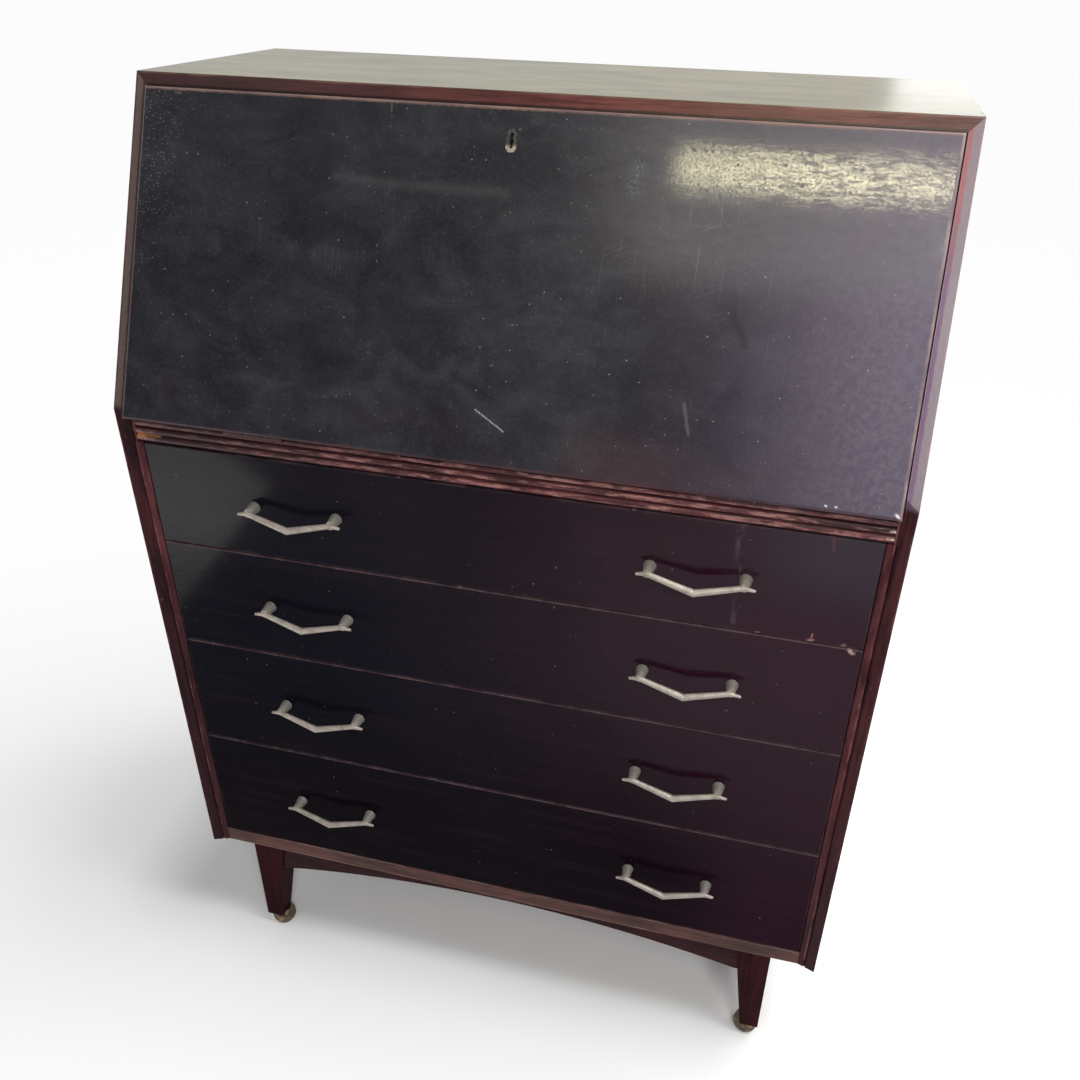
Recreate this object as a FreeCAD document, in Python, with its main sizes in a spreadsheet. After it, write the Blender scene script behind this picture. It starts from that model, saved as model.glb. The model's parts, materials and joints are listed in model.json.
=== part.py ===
"""Slant-front bureau: a carcass on a tapered underframe, four graduated drawers and a drop fall.

Millimetres. X runs to the right, Y to the back and Z up. The origin is on the floor, under the
middle of the outer box, pulls included. The fall's own pieces are drawn upright, with the hinge
axis as their origin, and are then leaned back onto the slope.
"""
import FreeCAD, Part
import os

import Sketcher

SIZES = {
    # carcass outline
    "width": 762, "depth": 403, "top_depth": 267, "knee_height": 754, "rise": 286,
    "base_height": 160, "board": 19,
    # the sides' front edge: a splay from the outer arris in, with a groove beside the inner bead
    "band": 11.5, "edge_splay": 7, "bead_groove_width": 2.6, "bead_groove_depth": 1.8,
    # back panel, let into a rebate
    "back_board": 6, "back_rebate": 9,
    # writing level, below the knee, and the reeded rail under the fall
    "desk_drop": 12.5, "desk_board": 23.5, "rail_depth": 19, "rail_housing": 5,
    # fall, let into the slope for a part of its thickness
    "fall_thickness": 17, "fall_inset": 11, "fall_round": 3, "fall_gap": 1.5, "fall_seat_gap": 0.3,
    "hinge_gap": 0.6,
    # butt hinges
    "hinge_spacing": 470, "hinge_length": 62, "leaf_length": 15, "leaf_thickness": 1.6,
    "knuckle_radius": 3.4, "hinge_pin_radius": 1.5, "pin_gap": 0.05, "running_gap": 0.3,
    # lock, with its bolt drawn back
    "lock_width": 60, "lock_height": 46, "lock_depth": 12, "bolt_width": 26, "bolt_thickness": 5,
    "bolt_length": 22, "bolt_inset": 0.5, "bolt_throw": 8, "strike_width": 50, "strike_depth": 9,
    "strike_thickness": 1.5, "key_drop": 29, "key_shift": -5, "key_hole_radius": 2.4,
    "liner_width": 10, "liner_height": 20, "liner_wall": 3.4, "liner_depth": 4,
    # folding stays
    "stay_reach": 140, "stay_base": 120, "stay_rise": 14, "stay_plate": 2.5, "stay_gap": 0.5,
    "arm_width": 12, "stay_pin_radius": 3, "stay_foot": 34, "elbow_gap": 0.3,
    # drawers
    "drawer_gap": 1.5, "drawer_front_board": 18, "drawer_front_round": 1.2, "drawer_side_board": 12,
    "drawer_back_board": 10, "drawer_bottom_board": 4, "drawer_length": 350, "drawer_clear": 2,
    "drawer_top_drop": 10, "drawer_bottom_lift": 5, "bottom_groove": 5, "bottom_lift": 8,
    "runner_height": 12, "runner_groove": 7, "runner_gap": 0.3, "runner_set_back": 6,
    # pulls
    "pull_spacing": 405, "post_spacing": 89, "post_radius": 6.3, "post_front_radius": 4.2,
    "pull_tip_length": 110, "pull_post_reach": 15, "pull_middle_reach": 20.1, "pull_drop": 10,
    "pull_tip_drop": 1.5, "pull_bar": 5.4, "pull_middle": 7.4, "pull_tip": 2.8, "pull_lap": 1.2,
    # underframe
    "leg_inset": 49, "leg_set_back": 13, "leg_top": 41, "leg_foot": 22, "foot_height": 20,
    "foot_radius": 15, "foot_swell": 14, "foot_middle": 9, "frame_board": 16, "frame_set_back": 3,
    "apron_end": 43, "apron_middle": 14, "apron_flat": 6, "frame_rail": 34,
    # pigeonholes
    "pigeonhole_depth": 168, "pigeonhole_height": 140, "pigeonhole_board": 8,
    # every cut runs this far past the wood
    "overrun": 30,
}
REEDS = 3
DIVIDERS = 4
KNUCKLES = 3
# Heights of the four drawers, from the bottom one up, as shares of the opening.
DRAWER_HEIGHT_SHARES = (0.291, 0.262, 0.236, 0.211)

# Places that several pieces share, written in the sizes above.
PLACES = {
    "half": "width / 2",
    "inner": "half - board",
    "pull_proud": "pull_middle_reach + pull_middle / 2 - edge_splay",
    "front": "(pull_proud - depth) / 2",
    "rear": "front + depth",
    "middle_y": "front + depth / 2",
    "face": "front + edge_splay",
    "height": "knee_height + rise",
    "desk_level": "knee_height - desk_drop",
    "run": "depth - top_depth",
    "slope": "sqrt(run * run + rise * rise)",
    "lean_sin": "run / slope",
    "lean_cos": "rise / slope",
    "below_knee": "(desk_drop - fall_inset * lean_sin) / lean_cos",
    "hinge_y": "front - below_knee * lean_sin + fall_inset * lean_cos",
    "rail_front": "hinge_y + hinge_gap",
    "rail_bottom": "desk_level - desk_board",
    "rail_half": "inner + rail_housing",
    "back_face": "rear - back_board",
    "fall_half": "half - band - fall_gap",
    "lip": "band / lean_cos",
    "fall_length": "slope + below_knee - lip - fall_gap",
    "lip_wall": "fall_length + fall_gap",
    "bolt_middle": "0 - fall_inset / 2",
    "base_top": "base_height + board",
    "opening": "rail_bottom - base_top",
    "stay_layer": "stay_plate + stay_gap",
    "leg_outer": "half - leg_inset",
    "leg_inner": "leg_outer - leg_top",
    "leg_front": "front + leg_set_back",
    "leg_taper": "(leg_top - leg_foot) / (base_height - foot_height)",
    "foot_x": "leg_outer - foot_radius",
    "foot_y": "leg_front + foot_radius",
    "box_front": "face + drawer_front_board",
    "box_rear": "box_front + drawer_length",
    "box_half": "inner - drawer_clear",
    "box_inner": "box_half - drawer_side_board",
    "pull_x": "pull_spacing / 2",
}
# The turn about X that leans the fall back.
LEAN = "-atan2(run; rise)"

doc = FreeCAD.newDocument("bureau")
sheet = doc.addObject("Spreadsheet::Sheet", "Sizes")
for row, (alias, size) in enumerate(SIZES.items(), 1):
    sheet.set(f"A{row}", alias)
    sheet.set(f"B{row}", str(size))
    sheet.setAlias(f"B{row}", alias)
doc.recompute()

nodes = {}


def is_name_part(letter):
    return letter.isalnum() or letter == "_"


def ex(text):
    """The sheet expression for a text written in the words of SIZES and PLACES."""
    out = ""
    word = ""
    for letter in text + " ":
        if is_name_part(letter):
            word += letter
            continue
        if word in SIZES:
            word = f"Sizes.{word}"
        elif word in PLACES:
            word = f"({ex(PLACES[word]).strip()})"
        out += word + letter
        word = ""
    return out.strip()


def number(text):
    """The present value of such a text."""
    return float(sheet.evalExpression(ex(text)))


def bind(piece, prop, text):
    piece.setExpression(prop, ex(text))


def keep(piece, label):
    """Names a finished sub-part."""
    piece.Label = label
    nodes[label] = piece
    return piece


def place(piece, x="0", y="0", z="0"):
    for axis, text in zip("xyz", (x, y, z)):
        bind(piece, f"Placement.Base.{axis}", text)
    return piece


def tilt(piece, angle, x="0", y="0", z="0"):
    """Turns a piece about X by an angle text in degrees, and moves it."""
    spot = f"create(<<vector>>; {ex(x)}; {ex(y)}; {ex(z)})"
    turn = f"create(<<rotation>>; create(<<vector>>; 1; 0; 0); {ex(angle)})"
    piece.setExpression("Placement", f"create(<<placement>>; {spot}; {turn})")
    return piece


def lean(piece):
    """Sets an upright piece of the fall on the slope, about the hinge axis."""
    return tilt(piece, LEAN, "0", "hinge_y", "desk_level")


def leaned(inward, upward):
    """Y and Z texts of a point given in the fall's own upright frame."""
    y = f"hinge_y + ({inward}) * lean_cos + ({upward}) * lean_sin"
    z = f"desk_level - ({inward}) * lean_sin + ({upward}) * lean_cos"
    return y, z


def box(name, low, high):
    piece = doc.addObject("Part::Box", name)
    for prop, lo, hi in zip(("Length", "Width", "Height"), low, high):
        bind(piece, prop, f"({hi}) - ({lo})")
    return place(piece, *low)


def rod(name, radius, x_low, x_high, y, z):
    """A cylinder along X."""
    piece = doc.addObject("Part::Cylinder", name)
    bind(piece, "Radius", radius)
    bind(piece, "Height", f"({x_high}) - ({x_low})")
    piece.Placement = FreeCAD.Placement(FreeCAD.Vector(), FreeCAD.Rotation(FreeCAD.Vector(0, 1, 0), 90))
    return place(piece, x_low, y, z)


def cone(name, start, finish, radius, end_radius):
    """A cone between two points, given as texts, with its radius at either end."""
    piece = doc.addObject("Part::Cone", name)
    run = [ex(f"({high}) - ({low})") for low, high in zip(start, finish)]
    length = f"sqrt(({run[0]}) ^ 2 + ({run[1]}) ^ 2 + ({run[2]}) ^ 2)"
    piece.setExpression("Height", length)
    bind(piece, "Radius1", radius)
    bind(piece, "Radius2", end_radius)
    spot = f"create(<<vector>>; {'; '.join(ex(text) for text in start)})"
    axis = f"create(<<vector>>; -({run[1]}); {run[0]}; 0)"
    turn = f"create(<<rotation>>; {axis}; acos(({run[2]}) / {length}))"
    piece.setExpression("Placement", f"create(<<placement>>; {spot}; {turn})")
    return piece


def fuse(name, pieces):
    piece = doc.addObject("Part::MultiFuse", name)
    piece.Shapes = pieces
    return piece


def cut(name, base, tools):
    piece = doc.addObject("Part::Cut", name)
    piece.Base = base
    piece.Tool = tools[0] if len(tools) == 1 else fuse(f"{name}_tools", tools)
    return piece


def group(name, pieces):
    piece = doc.addObject("Part::Compound", name)
    piece.Links = pieces
    return piece


def mirror(name, source, across="x", at="0"):
    piece = doc.addObject("Part::Mirroring", name)
    piece.Source = source
    piece.Normal = FreeCAD.Vector(*[float(axis == across) for axis in "xyz"])
    bind(piece, f"Base.{across}", at)
    return piece


def new_body(name):
    return doc.addObject("PartDesign::Body", name)


def new_sketch(body, plane, offset="0"):
    """A sketch on one of the body's origin planes, moved along that plane's normal."""
    sketch = body.newObject("Sketcher::SketchObject", f"{body.Name}_sketch")
    origin = [part for part in body.Origin.OriginFeatures if part.Role == f"{plane}_Plane"]
    sketch.AttachmentSupport = [(origin[0], "")]
    sketch.MapMode = "FlatFace"
    bind(sketch, "AttachmentOffset.Base.z", offset)
    return sketch


def pin_point(sketch, line, end, point):
    """Holds one end of a sketch line, or an arc's centre, at a pair of texts."""
    for kind, text in zip(("DistanceX", "DistanceY"), point):
        spot = sketch.addConstraint(Sketcher.Constraint(kind, -1, 1, line, end, number(text)))
        bind(sketch, f"Constraints[{spot}]", text)


def polygon(body, plane, points, offset="0"):
    sketch = new_sketch(body, plane, offset)
    corners = [FreeCAD.Vector(number(across), number(up), 0) for across, up in points]
    count = len(corners)
    for start in range(count):
        sketch.addGeometry(Part.LineSegment(corners[start], corners[(start + 1) % count]))
    for start in range(count):
        sketch.addConstraint(Sketcher.Constraint("Coincident", start, 2, (start + 1) % count, 1))
    for line, point in enumerate(points):
        pin_point(sketch, line, 1, point)
    return sketch


def rectangle(body, plane, low, high, offset="0"):
    corners = [low, (high[0], low[1]), high, (low[0], high[1])]
    return polygon(body, plane, corners, offset)


def circle(body, plane, centre, radius, offset="0"):
    sketch = new_sketch(body, plane, offset)
    spot = FreeCAD.Vector(number(centre[0]), number(centre[1]), 0)
    sketch.addGeometry(Part.Circle(spot, FreeCAD.Vector(0, 0, 1), number(radius)))
    pin_point(sketch, 0, 3, centre)
    size = sketch.addConstraint(Sketcher.Constraint("Radius", 0, number(radius)))
    bind(sketch, f"Constraints[{size}]", radius)
    return sketch


def pad(body, sketch, length, back=False):
    """Adds along the sketch's normal, or against it."""
    feature = body.newObject("PartDesign::Pad", f"{body.Name}_pad")
    feature.Profile = sketch
    feature.Reversed = back
    bind(feature, "Length", length)
    return feature


def pocket(body, sketch, length, back=False):
    """Cuts against the sketch's normal, or along it."""
    doc.recompute()
    before = body.Shape.Volume
    feature = body.newObject("PartDesign::Pocket", f"{body.Name}_pocket")
    feature.Profile = sketch
    feature.Reversed = back
    bind(feature, "Length", length)
    doc.recompute()
    if body.Shape.Volume >= before:
        raise RuntimeError(f"{feature.Name} cuts nothing")
    return feature


def fillet(body, feature, radius, wanted):
    """Rounds the edges whose ends all satisfy a test on their points."""
    doc.recompute()
    names = []
    for count, edge in enumerate(feature.Shape.Edges, 1):
        if all(wanted(vertex.Point) for vertex in edge.Vertexes):
            names.append(f"Edge{count}")
    rounding = body.newObject("PartDesign::Fillet", f"{body.Name}_fillet")
    rounding.Base = (feature, names)
    bind(rounding, "Radius", radius)
    return rounding


def make_sides():
    """Both sides: sloped front, mitred top, splayed and grooved edge, fall's seat, rail's housing."""
    body = new_body("side")
    pad(body, polygon(body, "YZ", [
        ("front", "base_height"), ("front", "knee_height"), ("front + run", "height"),
        ("rear", "height"), ("rear", "base_height")], "inner"), "board")
    pocket(body, polygon(body, "XZ", [
        ("inner", "height - board"), ("half + overrun", "height + overrun"),
        ("inner - overrun", "height + overrun"), ("inner - overrun", "height - board")],
        "0 - front + overrun"), "depth + 2 * overrun")
    pocket(body, rectangle(body, "XY", ("inner - overrun", "back_face"),
                           ("inner + back_rebate", "rear + overrun"), "height + overrun"),
           "height + overrun")
    deepest = "edge_splay * (board + overrun) / board"
    pocket(body, polygon(body, "XY", [
        ("half", "front - overrun"), ("half", "front"),
        ("inner - overrun", f"front + {deepest}"), ("inner - overrun", "front - overrun")],
        "knee_height + edge_splay * rise / run + overrun"), "height")
    groove_y = "front + edge_splay * band / board"
    pocket(body, polygon(body, "XY", [
        ("half - band - bead_groove_width / 2", f"{groove_y} - overrun"),
        ("half - band + bead_groove_width / 2", f"{groove_y} - overrun"),
        ("half - band + bead_groove_width / 2", groove_y),
        ("half - band", f"{groove_y} + bead_groove_depth"),
        ("half - band - bead_groove_width / 2", groove_y)], "rail_bottom"), "height")
    seat_low = leaned("fall_seat_gap", "(hinge_gap - fall_seat_gap * lean_cos) / lean_sin")
    pocket(body, polygon(body, "YZ", [
        ("front - overrun", "rail_bottom"), ("rail_front", "rail_bottom"), seat_low,
        leaned("fall_seat_gap", "lip_wall"), leaned("0 - fall_thickness - overrun", "lip_wall"),
        ("front - overrun", "knee_height")], "half - band"), "board")
    pocket(body, rectangle(body, "YZ", ("front - overrun", "rail_bottom"),
                           ("rail_front + rail_depth", "desk_level"), "rail_half"), "board")
    keep(body, "right_side")
    keep(mirror("side_mirror", body), "left_side")


def make_top():
    """The top: its front edge follows the slope, its wall below the lip faces the fall's top edge."""
    lip_y = "front + run - band * run / rise"
    body = new_body("top")
    pad(body, polygon(body, "YZ", [
        ("front + run", "height"), (lip_y, "height - band"),
        (f"{lip_y} + (board - band) * rise / run", "height - board"),
        ("back_face", "height - board"), ("back_face", "height - board + back_rebate"),
        ("rear", "height - board + back_rebate"), ("rear", "height")], "0 - half"), "width")
    for turn in (1, -1):
        pocket(body, polygon(body, "XZ", [
            (f"{turn} * inner", "height - board"),
            (f"{turn} * (half + overrun)", "height + overrun"),
            (f"{turn} * (half + overrun)", "height - board - overrun"),
            (f"{turn} * inner", "height - board - overrun")],
            "0 - front + overrun"), "depth + 2 * overrun")
    strike = slot_outline("strike_depth", "lip_wall - fall_gap / 2", "lip_wall + strike_thickness")
    pocket(body, polygon(body, "YZ", strike, "strike_width / 2"), "strike_width")
    mortise = slot_outline("bolt_thickness + 2 * running_gap", "lip_wall - fall_gap / 2",
                           "lip_wall + bolt_throw")
    pocket(body, polygon(body, "YZ", mortise, "bolt_width / 2 + running_gap"),
           "bolt_width + 2 * running_gap")
    keep(body, "top_panel")


def slot_outline(thickness, low, high):
    """A leaned rectangle about the bolt's middle plane, between two heights on the slope."""
    near = f"bolt_middle - ({thickness}) / 2"
    far = f"bolt_middle + ({thickness}) / 2"
    return [leaned(near, low), leaned(far, low), leaned(far, high), leaned(near, high)]


def make_boards():
    """Base, desk floor and back."""
    keep(box("base", ("0 - inner", "face", "base_height"), ("inner", "back_face", "base_top")),
         "base_panel")
    keep(box("desk", ("0 - inner", "rail_front + rail_depth", "rail_bottom"),
             ("inner", "back_face", "desk_level")), "desk_floor")
    keep(box("back", ("0 - inner - back_rebate", "back_face", "base_height"),
             ("inner + back_rebate", "rear", "height - board + back_rebate")), "back_panel")


def make_rail():
    """The reeded rail: half-round reeds on a strip, cut away for the two hinges."""
    reed = f"desk_board / {2 * REEDS}"
    pieces = [box("rail_strip", ("0 - rail_half", f"rail_front + {reed}", "rail_bottom"),
                  ("rail_half", "rail_front + rail_depth", "desk_level"))]
    for count in range(REEDS):
        pieces.append(rod(f"reed_{count}", reed, "0 - rail_half", "rail_half", f"rail_front + {reed}",
                          f"rail_bottom + {2 * count + 1} * {reed}"))
    tools = []
    for turn in (1, -1):
        middle = f"{turn} * hinge_spacing / 2"
        low = f"{middle} - hinge_length / 2 - running_gap"
        high = f"{middle} + hinge_length / 2 + running_gap"
        tools.append(rod("rail_knuckle_cut", "knuckle_radius + running_gap", low, high,
                         "hinge_y", "desk_level"))
        tools.append(box("rail_leaf_cut", (low, "hinge_y", "desk_level - leaf_thickness"),
                         (high, "hinge_y + leaf_length", "desk_level + overrun")))
    keep(cut("rail", fuse("rail_reeds", pieces), tools), "reeded_rail")


def hinge_leaf(name, middle, kept, leaf):
    """A leaf with the knuckles at the places kept, bored for the pin."""
    pieces = [leaf]
    length = f"hinge_length / {KNUCKLES}"
    tools = [rod(f"{name}_bore", "hinge_pin_radius + pin_gap", f"{middle} - hinge_length",
                 f"{middle} + hinge_length", "0", "0")]
    for count in range(KNUCKLES):
        low = f"{middle} - hinge_length / 2 + {count} * {length}"
        high = f"{low} + {length}"
        if count in kept:
            pieces.append(rod(f"{name}_knuckle_{count}", "knuckle_radius", low, high, "0", "0"))
        else:
            tools.append(rod(f"{name}_gap_{count}", "knuckle_radius + running_gap",
                             f"{low} - running_gap", f"{high} + running_gap", "0", "0"))
    return cut(name, fuse(f"{name}_blank", pieces), tools)


def make_hinges():
    """Two butt hinges: leaves on the rail, leaves on the fall, and their pins."""
    ends = ("hinge_spacing / 2 - hinge_length / 2", "hinge_spacing / 2 + hinge_length / 2")
    middle = "hinge_spacing / 2"
    flat = box("rail_leaf_plate", (ends[0], "0", "0 - leaf_thickness"), (ends[1], "leaf_length", "0"))
    rail_leaf = hinge_leaf("rail_leaf", middle, (0, 2), flat)
    place(rail_leaf, "0", "hinge_y", "desk_level")
    keep(group("rail_leaves", [rail_leaf, mirror("rail_leaf_mirror", rail_leaf)]), "rail_hinge_leaves")
    upright = box("fall_leaf_plate", (ends[0], "0 - leaf_thickness", "0"), (ends[1], "0", "leaf_length"))
    fall_leaf = lean(hinge_leaf("fall_leaf", middle, (1,), upright))
    keep(group("fall_leaves", [fall_leaf, mirror("fall_leaf_mirror", fall_leaf)]), "fall_hinge_leaves")
    pin = rod("hinge_pin", "hinge_pin_radius", ends[0], ends[1], "hinge_y", "desk_level")
    keep(group("hinge_pins", [pin, mirror("hinge_pin_mirror", pin)]), "hinge_pins")


def make_fall():
    """The fall: rounded face edges, hinge recesses, lock recess and keyhole."""
    body = new_body("fall")
    slab = pad(body, rectangle(body, "XZ", ("0 - fall_half", "0"), ("fall_half", "fall_length")),
               "fall_thickness")
    outside = number("0 - fall_thickness / 2")
    fillet(body, slab, "fall_round", lambda point: point.y < outside)
    for turn in (1, -1):
        low = f"{turn} * hinge_spacing / 2 - hinge_length / 2 - running_gap"
        high = f"{turn} * hinge_spacing / 2 + hinge_length / 2 + running_gap"
        pocket(body, rectangle(body, "XZ", (low, "0 - overrun"), (high, "leaf_length")),
               "leaf_thickness", True)
        pocket(body, circle(body, "YZ", ("0", "0"), "knuckle_radius + running_gap", high),
               "hinge_length + 2 * running_gap")
    pocket(body, rectangle(body, "XZ", ("0 - lock_width / 2", "fall_length - lock_height"),
                           ("lock_width / 2", "fall_length + overrun")), "lock_depth", True)
    pocket(body, liner_outline(body, "0", "fall_thickness - liner_depth"), "liner_depth", True)
    pocket(body, circle(body, "XZ", ("key_shift", "fall_length - key_drop"), "key_hole_radius",
                        "fall_thickness / 2"), "fall_thickness", True)
    keep(lean(body), "fall_panel")


def liner_outline(body, inset, offset):
    """The keyhole liner's outline, an upright slot with round ends, drawn in by an inset."""
    sketch = new_sketch(body, "XZ", offset)
    top = ("key_shift", "fall_length - key_drop + liner_height / 2 - liner_width / 2")
    low = ("key_shift", "fall_length - key_drop - liner_height / 2 + liner_width / 2")
    radius = f"liner_width / 2 - ({inset})"
    reach = number(radius)
    middle = number("key_shift")
    ends = [(number(top[1]), 1), (number(low[1]), -1)]
    for height, turn in ends:
        spot = FreeCAD.Vector(middle, height, 0)
        start = FreeCAD.Vector(middle + turn * reach, height, 0)
        crown = FreeCAD.Vector(middle, height + turn * reach, 0)
        finish = FreeCAD.Vector(middle - turn * reach, height, 0)
        sketch.addGeometry(Part.Arc(start, crown, finish))
    left = [FreeCAD.Vector(middle - reach, height, 0) for height, turn in ends]
    right = [FreeCAD.Vector(middle + reach, height, 0) for height, turn in ends]
    sketch.addGeometry(Part.LineSegment(left[0], left[1]))
    sketch.addGeometry(Part.LineSegment(right[1], right[0]))
    for first, second in ((0, 2), (2, 1), (1, 3), (3, 0)):
        sketch.addConstraint(Sketcher.Constraint("Tangent", first, 2, second, 1))
    pin_point(sketch, 0, 3, top)
    pin_point(sketch, 1, 3, low)
    size = sketch.addConstraint(Sketcher.Constraint("Radius", 0, reach))
    bind(sketch, f"Constraints[{size}]", radius)
    return sketch


def make_lock():
    """Lock case in the fall, its bolt, the strike plate in the top and the keyhole liner."""
    case = box("lock_block", ("0 - lock_width / 2", "0 - lock_depth", "fall_length - lock_height"),
               ("lock_width / 2", "0", "fall_length"))
    bolt_near = "bolt_middle - bolt_thickness / 2"
    bolt_far = "bolt_middle + bolt_thickness / 2"
    channel = box("bolt_channel",
                  ("0 - bolt_width / 2 - running_gap", f"{bolt_near} - running_gap",
                   "fall_length - bolt_inset - bolt_length - running_gap"),
                  ("bolt_width / 2 + running_gap", f"{bolt_far} + running_gap", "fall_length + overrun"))
    key = doc.addObject("Part::Cylinder", "key_well")
    bind(key, "Radius", "key_hole_radius")
    bind(key, "Height", "lock_depth")
    key.Placement = FreeCAD.Placement(FreeCAD.Vector(), FreeCAD.Rotation(FreeCAD.Vector(1, 0, 0), 90))
    place(key, "key_shift", "0 - lock_depth / 2", "fall_length - key_drop")
    keep(lean(cut("lock", case, [channel, key])), "lock_case")
    bolt = box("bolt", ("0 - bolt_width / 2", bolt_near, "fall_length - bolt_inset - bolt_length"),
               ("bolt_width / 2", bolt_far, "fall_length - bolt_inset"))
    keep(lean(group("bolt_bar", [bolt])), "lock_bolt")
    plate = box("strike_blank", ("0 - strike_width / 2", "bolt_middle - strike_depth / 2", "lip_wall"),
                ("strike_width / 2", "bolt_middle + strike_depth / 2", "lip_wall + strike_thickness"))
    slot = box("strike_slot",
               ("0 - bolt_width / 2 - running_gap", f"{bolt_near} - running_gap", "lip_wall - overrun"),
               ("bolt_width / 2 + running_gap", f"{bolt_far} + running_gap", "lip_wall + overrun"))
    keep(lean(cut("strike", plate, [slot])), "strike_plate")
    body = new_body("liner")
    pad(body, liner_outline(body, "0", "fall_thickness - liner_depth"), "liner_depth")
    pocket(body, liner_outline(body, "liner_wall", "fall_thickness + overrun"),
           "fall_thickness + overrun")
    keep(lean(body), "keyhole_liner")


def link(name, length, holes):
    """A flat arm along local Z from its first pivot, with a hole radius at either end or none."""
    pieces = [box(f"{name}_bar", ("0 - stay_plate", "0 - arm_width / 2", "0"),
                  ("0", "arm_width / 2", length))]
    tools = []
    for count, (height, hole) in enumerate(zip(("0", length), holes)):
        pieces.append(rod(f"{name}_end_{count}", "arm_width / 2", "0 - stay_plate", "0", "0", height))
        if hole:
            tools.append(rod(f"{name}_hole_{count}", hole, "0 - overrun", "overrun", "0", height))
    return cut(name, fuse(f"{name}_blank", pieces), tools)


def make_stays():
    """A folding stay at each side: a plate on the side, two arms and a bracket on the fall."""
    free = "stay_pin_radius + pin_gap"
    base_y = "hinge_y + stay_base"
    base_z = "desk_level + stay_rise"
    rear_length = "sqrt(stay_reach * stay_reach + stay_rise * stay_rise)"
    front_length = "sqrt(stay_base * stay_base + stay_rise * stay_rise)"
    plate = box("stay_plate_foot", ("inner - stay_plate", f"{base_y} - stay_foot / 2", "desk_level"),
                ("inner", f"{base_y} + stay_foot / 2", f"{base_z} + arm_width"))
    base_pin = rod("stay_base_pin", "stay_pin_radius", "inner - stay_layer - stay_plate",
                   "inner", base_y, base_z)
    right_plate = fuse("stay_plate_right", [plate, base_pin])
    keep(group("stay_plates", [right_plate, mirror("stay_plate_left", right_plate)]), "stay_plates")

    rear = link("rear_arm_link", rear_length, (free, None))
    elbow = rod("elbow_pin", "stay_pin_radius", "0 - stay_layer - stay_plate", "0", "0", rear_length)
    rear_arm = tilt(fuse("rear_arm", [rear, elbow]), f"{LEAN} - atan2(stay_rise; stay_reach)",
                    "inner - stay_layer", base_y, base_z)
    keep(rear_arm, "right_rear_arm")
    keep(mirror("rear_arm_mirror", rear_arm), "left_rear_arm")

    fall_y, fall_z = leaned("stay_rise", "stay_reach")
    front = link("front_arm_link", front_length, (free, "stay_pin_radius + elbow_gap"))
    front_arm = tilt(front, "-atan2(stay_base; stay_rise)", "inner - 2 * stay_layer", fall_y, fall_z)
    keep(front_arm, "right_front_arm")
    keep(mirror("front_arm_mirror", front_arm), "left_front_arm")

    inside = "inner - 3 * stay_layer"
    upright = box("bracket_upright", (f"{inside} - stay_plate", "0", "stay_reach - arm_width"),
                  (inside, "stay_rise + arm_width / 2", "stay_reach + arm_width"))
    foot = box("bracket_foot", (f"{inside} - arm_width", "0", "stay_reach - stay_foot / 2"),
               (inside, "stay_plate", "stay_reach + stay_foot / 2"))
    fall_pin = rod("bracket_pin", "stay_pin_radius", inside, "inner - 2 * stay_layer",
                   "stay_rise", "stay_reach")
    bracket = lean(fuse("bracket_right", [upright, foot, fall_pin]))
    keep(group("brackets", [bracket, mirror("bracket_left", bracket)]), "fall_stay_brackets")


def make_drawer(count, bottom, height):
    """One drawer, from its front to its pulls, and the pair of runners that carry it."""
    name = f"drawer_{count}"
    low = f"{bottom} + drawer_gap / 2"
    high = f"{bottom} + {height} - drawer_gap / 2"
    side_low = f"{low} + drawer_bottom_lift"
    side_high = f"{high} - drawer_top_drop"
    floor_low = f"{side_low} + bottom_lift"
    floor_high = f"{floor_low} + drawer_bottom_board"
    front_half = "(inner - drawer_gap / 2)"

    body = new_body(f"{name}_board")
    slab = pad(body, rectangle(body, "XZ", (f"0 - {front_half}", low), (front_half, high),
                               "0 - box_front"), "drawer_front_board")
    outside = number("face + drawer_front_board / 2")
    fillet(body, slab, "drawer_front_round", lambda point: point.y < outside)
    pocket(body, rectangle(body, "XZ", ("0 - box_inner - bottom_groove", floor_low),
                           ("box_inner + bottom_groove", floor_high), "0 - box_front"),
           "bottom_groove", True)
    keep(body, f"{name}_front")

    runner_low = f"{side_low} + ({side_high} - ({side_low})) / 2 - runner_height / 2"
    runner_high = f"{runner_low} + runner_height"
    side = box(f"{name}_side_board", ("box_inner", "box_front", side_low),
               ("box_half", "box_rear", side_high))
    groove = box(f"{name}_runner_groove",
                 ("box_half - runner_groove", "box_front - overrun", f"{runner_low} - runner_gap"),
                 ("box_half + overrun", "box_rear + overrun", f"{runner_high} + runner_gap"))
    housing = box(f"{name}_bottom_housing", ("box_inner - overrun", "box_front - overrun", floor_low),
                  ("box_inner + bottom_groove", "box_rear + overrun", floor_high))
    right = keep(cut(f"{name}_side", side, [groove, housing]), f"{name}_right_side")
    keep(mirror(f"{name}_side_mirror", right), f"{name}_left_side")
    keep(box(f"{name}_back_board", ("0 - box_inner", "box_rear - drawer_back_board", floor_high),
             ("box_inner", "box_rear", side_high)), f"{name}_back")
    keep(box(f"{name}_bottom_board",
             ("0 - box_inner - bottom_groove", "box_front - bottom_groove", floor_low),
             ("box_inner + bottom_groove", "box_rear", floor_high)), f"{name}_bottom")
    pull = make_pull(f"{name}_pull", f"({low} + {high}) / 2")
    keep(group(f"{name}_pull_pair", [pull, mirror(f"{name}_pull_mirror", pull)]), f"{name}_pulls")
    return box(f"{name}_runner",
               ("box_half - runner_groove + runner_gap", "box_front + runner_set_back", runner_low),
               ("inner", "back_face - runner_set_back", runner_high))


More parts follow.
